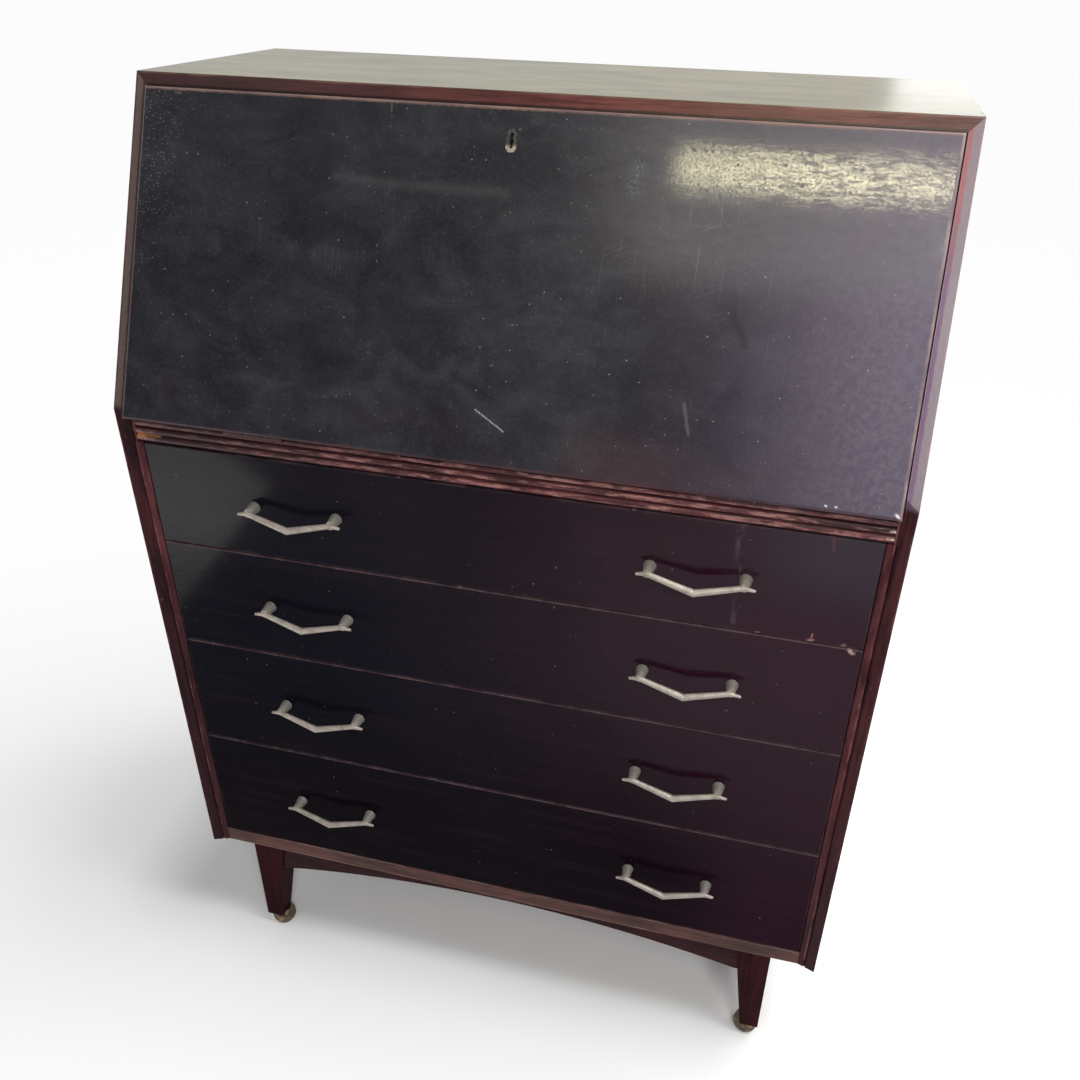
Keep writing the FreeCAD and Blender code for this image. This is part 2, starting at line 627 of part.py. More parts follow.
def make_pull(name, height):
    """A cast pull: two tapered posts, and a bar that swells and dips to a mitre, with drooping tips."""
    half = "(post_spacing / 2)"
    tip = f"(pull_tip_length / 2 - {half})"
    bow = "(pull_middle_reach - pull_post_reach)"
    lap = f"pull_lap / {half}"
    post_x = f"pull_x + {half}"
    post_y = "face - pull_post_reach"
    post = cone(f"{name}_post", (post_x, "face", height), (post_x, post_y, height),
                "post_radius", "post_front_radius")
    bar = cone(f"{name}_bar",
               (f"{post_x} + pull_lap", f"{post_y} + {bow} * {lap}", f"{height} + pull_drop * {lap}"),
               ("pull_x - pull_lap", f"face - pull_middle_reach - {bow} * {lap}",
                f"{height} - pull_drop * (1 + {lap})"), "pull_bar / 2", "pull_middle / 2")
    end = cone(f"{name}_tip",
               (f"{post_x} - pull_lap", post_y, f"{height} + pull_tip_drop * pull_lap / {tip}"),
               ("pull_x + pull_tip_length / 2", post_y, f"{height} - pull_tip_drop"),
               "pull_bar / 2", "pull_tip / 2")
    mitre = box(f"{name}_mitre",
                ("pull_x - overrun", "face - pull_middle_reach - overrun", f"{height} - pull_drop - overrun"),
                ("pull_x", "face", f"{height} + overrun"))
    right = cut(f"{name}_half", fuse(f"{name}_arms", [post, bar, end]), [mitre])
    return fuse(name, [right, mirror(f"{name}_half_mirror", right, "x", "pull_x")])


def make_drawers():
    runners = []
    bottom = "base_top"
    for step, share in enumerate(DRAWER_HEIGHT_SHARES):
        height = f"{share} * opening"
        runners.append(make_drawer(len(DRAWER_HEIGHT_SHARES) - step, bottom, height))
        bottom = f"{bottom} + {height}"
    mirrored = [mirror(f"{runner.Name}_mirror", runner) for runner in runners]
    keep(group("runners_right", runners), "right_runners")
    keep(group("runners_left", mirrored), "left_runners")


def make_underframe():
    """Four tapered legs on bulbous feet, an arched front apron and three plain rails."""
    leg = doc.addObject("Part::Wedge", "leg")
    outline = {
        "Ymin": "foot_height", "Ymax": "base_height",
        "Xmin": "leg_outer - leg_foot", "Xmax": "leg_outer", "X2min": "leg_inner", "X2max": "leg_outer",
        "Zmin": "0 - leg_front - leg_foot", "Zmax": "0 - leg_front",
        "Z2min": "0 - leg_front - leg_top", "Z2max": "0 - leg_front",
    }
    for prop, text in outline.items():
        bind(leg, prop, text)
    leg.Placement = FreeCAD.Placement(FreeCAD.Vector(), FreeCAD.Rotation(FreeCAD.Vector(1, 0, 0), 90))
    keep(leg, "front_right_leg")
    keep(mirror("leg_front_left", leg), "front_left_leg")
    rear = keep(mirror("leg_rear_right", leg, "y", "middle_y"), "rear_right_leg")
    keep(mirror("leg_rear_left", rear), "rear_left_leg")

    make_feet()
    arched = across_legs("apron", "apron_end", "leg_front + frame_set_back")
    reach = "(leg_inner + leg_taper * apron_end - apron_flat)"
    sag = "(apron_end - apron_middle)"
    radius = f"({reach} * {reach} + {sag} * {sag}) / (2 * {sag})"
    arch = doc.addObject("Part::Cylinder", "apron_arch")
    bind(arch, "Radius", radius)
    bind(arch, "Height", "frame_board + 2 * overrun")
    arch.Placement = FreeCAD.Placement(FreeCAD.Vector(), FreeCAD.Rotation(FreeCAD.Vector(1, 0, 0), -90))
    place(arch, "0", "leg_front - overrun", f"base_height - apron_middle - {radius}")
    keep(cut("apron_board", arched, [arch]), "front_apron")
    keep(across_legs("rear_board", "frame_rail", "rear - leg_set_back - frame_set_back - frame_board"),
         "rear_rail")

    body = new_body("side_rail")
    ends = ("leg_front + leg_top", "rear - leg_set_back - leg_top")
    pad(body, polygon(body, "YZ", [
        (ends[0], "base_height"), (f"{ends[0]} - leg_taper * frame_rail", "base_height - frame_rail"),
        (f"{ends[1]} + leg_taper * frame_rail", "base_height - frame_rail"), (ends[1], "base_height")],
        "leg_outer - frame_set_back - frame_board"), "frame_board")
    keep(body, "right_rail")
    keep(mirror("side_rail_mirror", body), "left_rail")


def across_legs(name, tall, front_face):
    """A board between two legs, its ends cut to their taper."""
    body = new_body(name)
    foot = f"leg_inner + leg_taper * {tall}"
    pad(body, polygon(body, "XZ", [
        ("0 - leg_inner", "base_height"), (f"0 - ({foot})", f"base_height - {tall}"),
        (foot, f"base_height - {tall}"), ("leg_inner", "base_height")],
        f"0 - ({front_face}) - frame_board"), "frame_board")
    return body


def make_feet():
    """Four bulbous metal feet, flat below and above."""
    swell = doc.addObject("Part::Ellipsoid", "foot_bulb")
    bind(swell, "Radius1", "foot_swell")
    bind(swell, "Radius2", "foot_radius")
    bind(swell, "Radius3", "foot_radius")
    place(swell, "foot_x", "foot_y", "foot_middle")
    trim = doc.addObject("Part::Cylinder", "foot_trim")
    bind(trim, "Radius", "foot_radius + overrun")
    bind(trim, "Height", "foot_height")
    place(trim, "foot_x", "foot_y", "0")
    foot = doc.addObject("Part::Common", "foot")
    foot.Base = swell
    foot.Tool = trim
    feet = [foot, mirror("foot_front_left", foot)]
    feet += [mirror(f"{piece.Name}_rear", piece, "y", "middle_y") for piece in feet]
    keep(group("foot_set", feet), "feet")


def make_pigeonholes():
    """A shelf across the back of the desk, on upright dividers."""
    shelf_front = "back_face - pigeonhole_depth"
    shelf_low = "desk_level + pigeonhole_height"
    keep(box("shelf", ("0 - inner", shelf_front, shelf_low),
             ("inner", "back_face", f"{shelf_low} + pigeonhole_board")), "pigeonhole_shelf")
    dividers = []
    for count in range(DIVIDERS):
        middle = f"inner * {2 * (count + 1)} / {DIVIDERS + 1} - inner"
        dividers.append(box(f"divider_{count}",
                            (f"{middle} - pigeonhole_board / 2", shelf_front, "desk_level"),
                            (f"{middle} + pigeonhole_board / 2", "back_face", shelf_low)))
    keep(group("divider_set", dividers), "pigeonhole_dividers")


def export():
    """Stops on a failed object or a bad shape, then writes one file for each sub-part."""
    doc.recompute()
    for piece in doc.Objects:
        if "Invalid" in piece.State or "Error" in piece.State:
            raise RuntimeError(f"{piece.Name} failed: {piece.State}")
    for label, piece in nodes.items():
        if piece.Shape.isNull() or not piece.Shape.isValid() or not piece.Shape.Solids:
            raise RuntimeError(f"{label} has no valid solid")
    os.makedirs("parts", exist_ok=True)
    for label, piece in nodes.items():
        piece.Shape.exportStep(f"parts/{label}.step")
    print(len(nodes), "sub-parts,", sum(len(piece.Shape.Solids) for piece in nodes.values()), "solids")


make_sides()
make_top()
make_boards()
make_rail()
make_hinges()
make_fall()
make_lock()
make_stays()
make_drawers()
make_underframe()
make_pigeonholes()
export()
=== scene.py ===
"""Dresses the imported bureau: finishes, floor, lamps and the photograph's camera.

Metres, in the model's own frame: X to the right, Y to the back, Z up. Each finish is a node tree
over object coordinates, which are the model's own, so a mark stays where it is on the wood.
Colours are linear. A mark is a ragged line on a face: start, end, width, and how ragged it is.
"""

import json
import math

import bpy
from mathutils import Matrix, Vector


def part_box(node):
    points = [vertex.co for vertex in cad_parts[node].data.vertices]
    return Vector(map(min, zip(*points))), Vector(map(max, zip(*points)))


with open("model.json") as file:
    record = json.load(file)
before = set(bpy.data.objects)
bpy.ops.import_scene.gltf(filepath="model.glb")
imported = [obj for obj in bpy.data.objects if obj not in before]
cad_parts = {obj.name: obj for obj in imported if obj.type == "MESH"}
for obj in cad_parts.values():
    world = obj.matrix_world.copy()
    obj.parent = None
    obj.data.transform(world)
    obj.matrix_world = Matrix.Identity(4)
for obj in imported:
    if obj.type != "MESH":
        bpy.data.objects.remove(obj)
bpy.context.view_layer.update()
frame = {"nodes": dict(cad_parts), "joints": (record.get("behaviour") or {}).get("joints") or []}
nodes = frame["nodes"]
joints = {joint["name"]: joint for joint in frame["joints"]}

# Places on the model
HINGE = Vector(joints["fall_open"]["pos_m"])
UP_SLOPE = Vector(joints["lock_bolt_throw"]["axis"])
OFF_SLOPE = Vector((0.0, -UP_SLOPE.z, UP_SLOPE.y))
KNEE_ABOVE_DESK = 0.0125
KNEE = HINGE.z + KNEE_ABOVE_DESK
DRAWERS = (1, 2, 3, 4)
REEDS = 3

# Stretches of a pattern: a share under 1 draws it out along that axis
EVEN = (1.0, 1.0, 1.0)
BRUSHED = (0.3, 1.0, 1.0)
LONG_EDGE = (0.25, 1.0, 1.0)
LONG_PATCH = (0.4, 1.0, 1.0)
LONG_REED = (0.2, 1.0, 1.0)
TALL_EDGE = (1.0, 1.0, 0.4)
TALL_PATCH = (1.0, 1.0, 0.5)
GRAIN_STRETCH = 0.05
BROAD_GRAIN_STRETCH = 0.3

# Black lacquer of the fall
FALL_BLACK = (0.0042, 0.0045, 0.0058)
FALL_HAZE = (0.021, 0.0225, 0.025)
FALL_SPECKLE = (0.032, 0.033, 0.036)
# Violet, lilac and veil: bloom haze toward the right of the fall, partly a painted sheen
FALL_VIOLET_SHEEN = (0.034, 0.023, 0.042)
FALL_LILAC_SHEEN = (0.082, 0.069, 0.088)
FALL_VEIL_AND_SHEEN = (0.08, 0.078, 0.082)
FALL_WARM = (0.04, 0.016, 0.017)
FALL_SMUDGE = (0.004, 0.004, 0.006)
FALL_HAIRLINE = (0.2, 0.2, 0.2)
FALL_DUST = (0.3, 0.29, 0.29)
FALL_WIPED = (0.045, 0.043, 0.043)
# Painted reflection: the pale bluish colour of a broken reflection on the fall
FALL_REFLECTED_PALE = (0.13, 0.145, 0.155)
FALL_SCRATCHED = (0.4, 0.38, 0.38)
FALL_RED = (0.08, 0.027, 0.027)
FALL_BROW = (0.125, 0.078, 0.062)
FALL_PALE = (0.24, 0.19, 0.18)
FALL_CHIPPED_AND_GLINT = (0.66, 0.63, 0.62)
FALL_GLOSS_TINT = (0.87, 0.76, 1.0)

# Marks on the fall: across, and up the slope from the hinge line
FALL_SMUDGES = (
    ((-0.0343, 0.077), (0.0018, 0.061), 0.008, 0.5),
    ((0.2065, 0.152), (0.2194, 0.129), 0.006, 0.5),
)
FALL_WIPE = ((-0.165, 0.241), (-0.005, 0.237), 0.008, 0.3)
# Painted reflection fragment: a short line of pale crumbs high up on the fall
FALL_REFLECTION_FRAGMENT = ((0.107, 0.246), (0.11, 0.268), 0.012, 0.7)
FALL_SCRATCH = ((-0.0107, 0.0494), (0.0176, 0.033), 0.0011, 0.8)
FALL_SCUFF = ((0.1751, 0.0751), (0.182, 0.0501), 0.0026, 0.9)
FALL_NICKS = (
    ((-0.1192, 0.3085), (-0.1186, 0.3005), 0.0014, 0.8),
    ((-0.3345, 0.3062), (-0.329, 0.3055), 0.0022, 0.9),
)
# Chips on the fall; the first, at the lower right corner, is a worn spot and partly a painted glint
FALL_CHIPS_AND_GLINT = (
    ((0.3625, 0.0052), (0.3648, 0.0028), 0.0019, 0.9),
    ((0.3046, 0.0052), (0.3056, 0.0046), 0.0013, 0.8),
    ((0.313, 0.0053), (0.314, 0.0049), 0.0012, 0.8),
)

# Near-black lacquer of the drawer fronts, from left to right, its shift from blue to red partly a painted
# reflection, and what has worn it
FRONT_LACQUER_AND_REFLECTION = (
    (0.0, (0.0035, 0.0037, 0.0072)),
    (0.35, (0.008, 0.0064, 0.0105)),
    (0.65, (0.009, 0.0028, 0.0072)),
    (1.0, (0.0185, 0.0038, 0.0105)),
)
FRONT_DULL = (0.003, 0.0012, 0.0032)
FRONT_GRAIN = (0.02, 0.009, 0.012)
FRONT_DUST = (0.2, 0.18, 0.19)
FRONT_RIM = (0.05, 0.03, 0.034)
FRONT_BROW = (0.095, 0.062, 0.07)
FRONT_PALE = (0.26, 0.19, 0.19)
FRONT_CHIPPED = (0.36, 0.17, 0.15)
FRONT_DRIPPED = (0.17, 0.06, 0.06)
FRONT_STREAKED = (0.14, 0.12, 0.14)
FRONT_BLUISH = (0.03, 0.027, 0.036)
FRONT_BARE = (0.45, 0.3, 0.28)

# Marks on the two top drawers and the rail: across, and up from the floor
FIRST_CHIPS = (
    ((0.313, 0.6105), (0.3135, 0.6135), 0.0014, 0.9),
    ((0.3105, 0.6058), (0.3135, 0.6072), 0.0034, 0.9),
    ((0.3415, 0.6055), (0.343, 0.6075), 0.0026, 0.9),
    ((0.2625, 0.6055), (0.2645, 0.6065), 0.002, 0.9),
)
FIRST_DRIP = (
    ((0.3174, 0.7165), (0.319, 0.7045), 0.0024, 0.9),
    ((0.3145, 0.7165), (0.3225, 0.7165), 0.0016, 0.9),
)
FIRST_STREAK = (
    ((0.2365, 0.7167), (0.2394, 0.6652), 0.006, 0.9),
    ((0.2394, 0.6652), (0.2403, 0.6135), 0.004, 0.9),
)
SECOND_CHIP = ((0.3485, 0.602), (0.352, 0.5995), 0.003, 0.9)
RAIL_NICKS = (
    ((0.03, 0.7392), (0.039, 0.7385), 0.0018, 0.9),
    ((-0.0875, 0.741), (-0.086, 0.739), 0.0016, 0.9),
    ((-0.0625, 0.7226), (-0.057, 0.722), 0.0017, 0.9),
)

# Woods: the dark and light of the grain, and the tones where it is rubbed or dusty, with painted sheen,
# highlight and shade
SIDE_GRAIN = ((0.011, 0.0036, 0.0048), (0.06, 0.0155, 0.0195))
SIDE_WORN = (0.28, 0.11, 0.105)
SIDE_CALM = (0.034, 0.0092, 0.0118)
SIDE_DUST_AND_SHEEN_LEFT = (0.1, 0.077, 0.072)
SIDE_DUST_AND_SHEEN_RIGHT = (0.14, 0.105, 0.132)
SIDE_INNER = (0.12, 0.035, 0.04)
SIDE_GROOVE_HIGHLIGHT_LOW = (0.1, 0.045, 0.11)
SIDE_GROOVE_HIGHLIGHT_HIGH = (0.26, 0.07, 0.07)
SIDE_FLAT = (0.06, 0.0165, 0.021)
SIDE_SHADE_LINE = (0.032, 0.013, 0.013)
SIDE_SHADED = (0.011, 0.004, 0.006)
TOP_GRAIN = ((0.05, 0.043, 0.02), (0.12, 0.104, 0.054))
TOP_EDGE_RED = ((0.035, 0.009, 0.009), (0.105, 0.03, 0.028))
TOP_EDGE_BROWN = ((0.018, 0.008, 0.0085), (0.055, 0.027, 0.026))
TOP_LIP_SHADE = (0.01, 0.0045, 0.005)
TOP_WORN = (0.22, 0.11, 0.1)
RAIL_GRAIN = ((0.016, 0.0045, 0.0065), (0.095, 0.026, 0.031))
RAIL_WORN_AND_HIGHLIGHT = (0.42, 0.2, 0.18)
RAIL_VALLEY_SHADE = (0.006, 0.002, 0.003)
RAIL_DIM = (0.024, 0.012, 0.014)
RAIL_NOSE_WEAR_AND_HIGHLIGHT = (0.62, 0.5, 0.48)
RAIL_NICKED = (0.34, 0.22, 0.18)
RAIL_BARE = (0.42, 0.19, 0.08)
BASE_GRAIN = ((0.03, 0.013, 0.011), (0.115, 0.043, 0.035))
BASE_WORN = (0.26, 0.15, 0.13)
APRON_GRAIN = ((0.011, 0.0026, 0.0038), (0.036, 0.0085, 0.0105))
APRON_WORN = (0.13, 0.06, 0.055)
LEG_GRAIN = ((0.011, 0.0022, 0.0034), (0.034, 0.0062, 0.0085))
INNER_GRAIN = ((0.13, 0.06, 0.035), (0.26, 0.13, 0.075))
BACK_GRAIN = ((0.17, 0.1, 0.06), (0.3, 0.19, 0.12))
DRAWER_GRAIN = ((0.3, 0.19, 0.11), (0.46, 0.31, 0.19))

# Metals: dark or tarnished, then light or clean
FOOT_BRASS = ((0.07, 0.052, 0.04), (0.36, 0.27, 0.16))
LOCK_BRASS = ((0.12, 0.088, 0.05), (0.27, 0.2, 0.115))
PULL_METAL = ((0.19, 0.162, 0.138), (0.34, 0.3, 0.262))
PULL_POST = (0.22, 0.212, 0.19)
HINGE_BRASS = ((0.16, 0.11, 0.06), (0.5, 0.38, 0.22))
HINGE_STAIN = ((0.02, 0.006, 0.007), (0.07, 0.02, 0.023))
LINER_BLACK = ((0.012, 0.011, 0.011), (0.055, 0.05, 0.048))
LINER_BARE = (0.24, 0.195, 0.165)
STEEL = ((0.3, 0.3, 0.31), (0.52, 0.52, 0.53))

# The photograph's camera: millimetres for the lens, and the directions of its picture
SENSOR = 36.0
LENS = 33.768
SHIFT = (-0.02848, 0.03602)
EYE = (0.27666, -0.98612, 1.14817)
PICTURE_RIGHT = Vector((0.96855, 0.24798, 0.02057))
PICTURE_DOWN = Vector((0.1484, -0.50931, -0.84769))
AHEAD = Vector((-0.19973, 0.82408, -0.53009))

# The floor and the surround
WHITE = (1.0, 1.0, 1.0)
FLOOR_WHITE = (0.86, 0.86, 0.86)
FLOOR_REACH = 60.0
SHADOW_MIDDLE = (-0.03, 0.045)
SHADOW_HALF = (0.43, 0.185)
SHADOW_EDGE = 0.12
SHADOW_END = 1.0
GLOW_AT_EDGE = 0.36
GLOW_BEYOND = 0.6


class Nodes:
    """A node tree that is written one call at a time."""

    def __init__(self, tree):
        self.tree = tree

    def feed(self, socket, value):
        """Gives a socket a constant or another node's output."""
        if isinstance(value, bpy.types.NodeSocket):
            self.tree.links.new(value, socket)
        elif isinstance(value, tuple) and socket.type == "RGBA":
            socket.default_value = (*value, 1.0)
        else:
            socket.default_value = value

    def add(self, kind, inputs=None, **settings):
        """Adds a node with its settings, and feeds its inputs by name or by number."""
        node = self.tree.nodes.new(kind)
        for name, value in settings.items():
            setattr(node, name, value)
        for name, value in (inputs or {}).items():
            self.feed(node.inputs[name], value)
        return node

    def math(self, operation, first, second=0.0):
        return self.add("ShaderNodeMath", {0: first, 1: second}, operation=operation).outputs[0]

    def plus(self, first, second):
        return self.math("ADD", first, second)

    def minus(self, first, second):
        return self.math("SUBTRACT", first, second)

    def rest(self, share):
        """What a share leaves of 1."""
        return self.minus(1.0, share)

    def size(self, value):
        return self.math("ABSOLUTE", value)

    def chain(self, operation, values):
        result = values[0]
        for value in values[1:]:
            result = self.math(operation, result, value)
        return result

    def most(self, *values):
        return self.chain("MAXIMUM", values)

    def least(self, *values):
        return self.chain("MINIMUM", values)

    def times(self, *values):
        return self.chain("MULTIPLY", values)

    def clamped(self, value):
        return self.add("ShaderNodeClamp", {0: value}).outputs[0]

    def remap(self, value, low, high, start=0.0, end=1.0, curve="LINEAR"):
        """Spreads what lies from low to high between start and end, and holds it beyond them."""
        return self.add("ShaderNodeMapRange", {
            "Value": value, "From Min": low, "From Max": high, "To Min": start, "To Max": end,
        }, interpolation_type=curve).outputs[0]

    def fade(self, value, low, high, start=0.0, end=1.0):
        """Start at low and end at high, smooth between them."""
        return self.remap(value, low, high, start, end, "SMOOTHSTEP")

    def scaled(self, share, low, high):
        """A share from 0 to 1 spread between two numbers."""
        return self.remap(share, 0.0, 1.0, low, high)

    def flat(self, across, up):
        """A flat place on a face, from two distances."""
        return self.add("ShaderNodeCombineXYZ", {0: across, 1: up}).outputs[0]

    def seen_rays(self):
        """1 for rays that show a surface: from the camera, or by way of gloss or glass."""
        path = self.add("ShaderNodeLightPath").outputs
        return self.most(path["Is Camera Ray"], path["Is Glossy Ray"], path["Is Transmission Ray"])


class Paint(Nodes):
    """A material with one shader over the object's coordinates, and a colour laid on in steps."""

    SOCKETS = {"color": "Base Color", "tint": "Specular Tint", "shine": "Specular IOR Level"}

    def __init__(self, name, **sockets):
        self.material = bpy.data.materials.new(name)
        self.material.use_nodes = True
        super().__init__(self.material.node_tree)
        self.shader = self.tree.nodes["Principled BSDF"]
        self.place = self.add("ShaderNodeTexCoord").outputs["Object"]
        axes = self.add("ShaderNodeSeparateXYZ", {0: self.place}).outputs
        self.x, self.y, self.z = axes["X"], axes["Y"], axes["Z"]
        for socket, value in sockets.items():
            self.set(socket, value)

    def set(self, name, value):
        """Gives one of the shader's sockets a constant or a node's output."""
        label = self.SOCKETS.get(name, name.replace("_", " ").title())
        self.feed(self.shader.inputs[label], value)

    def finish(self):
        self.set("color", self.color)
        return self.material

    def mix(self, share, first, second):
        return self.add("ShaderNodeMix", {0: share, 6: first, 7: second}, data_type="RGBA").outputs[2]

    def lay(self, colour, *shares):
        """Lays a colour over what is there, as strong as the product of some shares."""
        self.color = self.mix(self.times(*shares), self.color, colour)

    def ramp(self, share, stops):
        """A colour ramp with (place, colour) stops."""
        node = self.add("ShaderNodeValToRGB", {0: share})
        points = node.color_ramp.elements
        while len(points) < len(stops):
            points.new(0.5)
        for point, (spot, colour) in zip(points, stops):
            point.position = spot
            point.color = (*colour, 1.0)
        return node.outputs[0]

    def bump(self, height, depth):
        """Bump from a height of 0 to 1 over a depth in metres."""
        node = self.add("ShaderNodeBump", {"Height": height, "Strength": 1.0, "Distance": depth})
        self.set("normal", node.outputs[0])
        return node.outputs[0]

    def vector(self, operation, first, second):
        return self.add("ShaderNodeVectorMath", {0: first, 1: second}, operation=operation).outputs

    def along(self, direction, origin):
        """How far a point lies along a direction, from an origin."""
        reach = self.vector("DOT_PRODUCT", self.place, tuple(direction))["Value"]
        return self.minus(reach, Vector(direction).dot(Vector(origin)))

    def insets(self, half, up, low, high):
        """Distances in from the sides, the bottom and the top of a face that is even about X = 0."""
        return self.minus(half, self.size(self.x)), self.minus(up, low), self.minus(high, up)

    def strip(self, value, middle, wide, narrow):
        """1 on a line at a middle, fading from a narrow half width to a wide one."""
        return self.fade(self.size(self.minus(value, middle)), wide, narrow)

    def noise(self, scale, detail=3.0, rough=0.5, stretch=EVEN, bend=0.0):
        return self.add("ShaderNodeTexNoise", {
            "Vector": self.vector("MULTIPLY", self.place, stretch)[0], "Scale": scale,
            "Detail": detail, "Roughness": rough, "Distortion": bend}).outputs[0]

    def patches(self, low, high, scale, detail=3.0, rough=0.5, stretch=EVEN):
        """Noise faded to patches: nothing under low, all of it over high."""
        return self.fade(self.noise(scale, detail, rough, stretch), low, high)

    def ragged(self, reach, scale, stretch=EVEN):
        """A distance that wanders to either side of 0, for worn outlines."""
        return self.scaled(self.noise(scale, 3.0, 0.6, stretch), -reach, reach)

    def specks(self, scale, size, share):
        """Dots on the face, up to a size given as a share of a cell, in some of the cells."""
        cells = self.add("ShaderNodeTexVoronoi", {"Vector": self.face, "Scale": scale},
                         voronoi_dimensions="2D").outputs
        pick = self.add("ShaderNodeSeparateColor", {0: cells["Color"]}).outputs
        radius = self.plus(self.times(pick[1], size * 0.7), size * 0.3)
        dot = self.fade(self.rest(self.math("DIVIDE", cells["Distance"], radius)), 0.0, 0.6)
        return self.times(dot, self.math("LESS_THAN", pick[0], share))

    def hairlines(self, angle, crowd, low, high):
        """Fine scratches at an angle across the face, a crowd of them to the metre."""
        turned = self.add("ShaderNodeVectorRotate", {"Vector": self.face, "Angle": math.radians(angle)},
                          rotation_type="Z_AXIS").outputs[0]
        drawn = self.vector("MULTIPLY", turned, (14.0, crowd, 1.0))[0]
        lines = self.add("ShaderNodeTexNoise", {"Vector": drawn, "Scale": 1.0, "Detail": 2.0})
        return self.fade(lines.outputs[0], low, high)

    def stroke(self, start, end, width, rough):
        """1 on a ragged line between two points of the face."""
        start = Vector((*start, 0.0))
        run = Vector((*end, 0.0)) - start
        away = self.vector("SUBTRACT", self.face, tuple(start))[0]
        share = self.vector("DOT_PRODUCT", away, tuple(run / run.length_squared))["Value"]
        foot = self.add("ShaderNodeVectorMath", {0: tuple(run), "Scale": self.clamped(share)},
                        operation="SCALE").outputs[0]
        gap = self.vector("DISTANCE", away, foot)["Value"]
        fray = self.times(self.noise(900.0, 2.0), width * 2.0 * rough)
        return self.fade(self.plus(gap, fray), width * (1.0 + rough), width * rough * 0.6)

    def strokes(self, marks):
        return self.most(*(self.stroke(*mark) for mark in marks))


class FallLacquer(Paint):
    """Scuffed black lacquer: brushed haze that is partly a painted sheen toward the right, specks, a
    scratch, a painted reflection fragment, and edges rubbed to the red wood, partly painted as highlights.
    """

    def __init__(self):
        super().__init__("fall_lacquer", shine=0.22, tint=FALL_GLOSS_TINT, coat_roughness=0.055)
        self.rise = self.along(UP_SLOPE, HINGE)
        self.face = self.flat(self.x, self.rise)
        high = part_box("fall_panel")[1]
        length = (high.y - HINGE.y) / UP_SLOPE.y
        self.side, self.bottom, self.top = self.insets(high.x, self.rise, 0.0, length)
        self.outer = self.fade(self.along(OFF_SLOPE, HINGE), 0.008, 0.013)
        self.clouds = self.noise(9.0, 4.0, 0.6, bend=0.6)
        self.smears = self.noise(30.0, 5.0, 0.65, stretch=(0.6, 1.0, 1.0), bend=0.8)
        self.streaks = self.noise(60.0, 3.0, 0.6, stretch=(0.12, 1.0, 1.0))
        self.lay_haze()
        self.lay_scuffs()
        self.lay_marks()
        self.lay_edges()
        self.set_gloss()

    def lay_haze(self):
        """Clouds and brushed smears, paler and more violet toward the right as bloom haze that is partly a
        painted sheen, warmer low down.
        """
        haze = self.plus(self.times(self.fade(self.clouds, 0.35, 0.75), 0.55),
                         self.times(self.fade(self.smears, 0.4, 0.7), 0.45))
        haze = self.times(haze, self.scaled(self.streaks, 0.6, 1.2))
        self.color = self.mix(haze, FALL_BLACK, FALL_HAZE)
        self.lay(FALL_SPECKLE, self.patches(0.46, 0.7, 330.0, 4.0, 0.75), 0.3)
        # Painted sheen in part: violet, lilac and a pale veil laid toward the right, with bloom haze
        self.lay(FALL_VIOLET_SHEEN, self.fade(self.x, 0.1, 0.42), self.scaled(self.clouds, 0.4, 1.0))
        sheen_mottle = self.scaled(self.patches(0.36, 0.64, 170.0, 6.0, 0.8), 0.3, 0.72)
        self.lay(FALL_LILAC_SHEEN, self.fade(self.x, 0.2, 0.36), sheen_mottle)
        rubs = self.scaled(self.noise(170.0, 5.0, 0.75, stretch=(0.35, 1.0, 1.0)), 0.3, 1.0)
        self.lay(FALL_VEIL_AND_SHEEN, self.fade(self.x, 0.03, 0.16), self.fade(self.rise, 0.15, 0.205), rubs, 0.75)
        self.lay(FALL_WARM, self.fade(self.rise, 0.07, 0.0), self.patches(0.45, 0.7, 7.0), 0.45)
        self.lay(FALL_SMUDGE, self.strokes(FALL_SMUDGES), self.outer, 0.7)

    def lay_scuffs(self):
        """Hairlines and dust where the lacquer is rubbed, and crumbs near the upper left edge."""
        rubbed = self.fade(self.smears, 0.42, 0.66)
        lines = self.most(self.hairlines(90.0, 620.0, 0.63, 0.75),
                          self.hairlines(62.0, 540.0, 0.66, 0.78),
                          self.hairlines(-28.0, 560.0, 0.65, 0.77))
        swept = self.times(self.fade(self.x, 0.05, 0.12), self.fade(self.x, 0.3, 0.22),
                           self.fade(self.rise, 0.13, 0.19), self.fade(self.rise, 0.25, 0.235))
        self.lay(FALL_HAIRLINE, lines, self.most(self.times(rubbed, 0.09), self.times(swept, 0.2)))
        crowd = self.times(self.fade(self.side, 0.07, 0.012), self.fade(self.x, 0.0, -0.1),
                           self.fade(self.rise, 0.13, 0.25))
        self.dots = self.times(self.specks(75.0, 0.075, 0.17), 0.4)
        crumbs = self.times(self.specks(330.0, 0.3, 0.4), crowd, self.outer, 0.34)
        dust = self.times(self.specks(260.0, 0.22, 0.14), rubbed, 0.2)
        self.lay(FALL_DUST, self.most(self.dots, crumbs, dust))

    def lay_marks(self):
        """A wiped streak, a painted reflection fragment of pale bluish crumbs, a scratch and a scuff."""
        self.lay(FALL_WIPED, self.stroke(*FALL_WIPE), self.scaled(self.streaks, 0.2, 0.9), self.outer, 0.5)
        # Painted reflection: pale bluish crumbs along a short line, broken into grains
        broken = self.patches(0.42, 0.66, 420.0, 3.0, 0.7)
        self.lay(FALL_REFLECTED_PALE, self.stroke(*FALL_REFLECTION_FRAGMENT), broken, self.outer, 0.45)
        scratches = self.most(self.times(self.stroke(*FALL_SCRATCH), 0.6),
                              self.times(self.stroke(*FALL_SCUFF), 0.12))
        self.lay(FALL_SCRATCHED, scratches, self.outer)

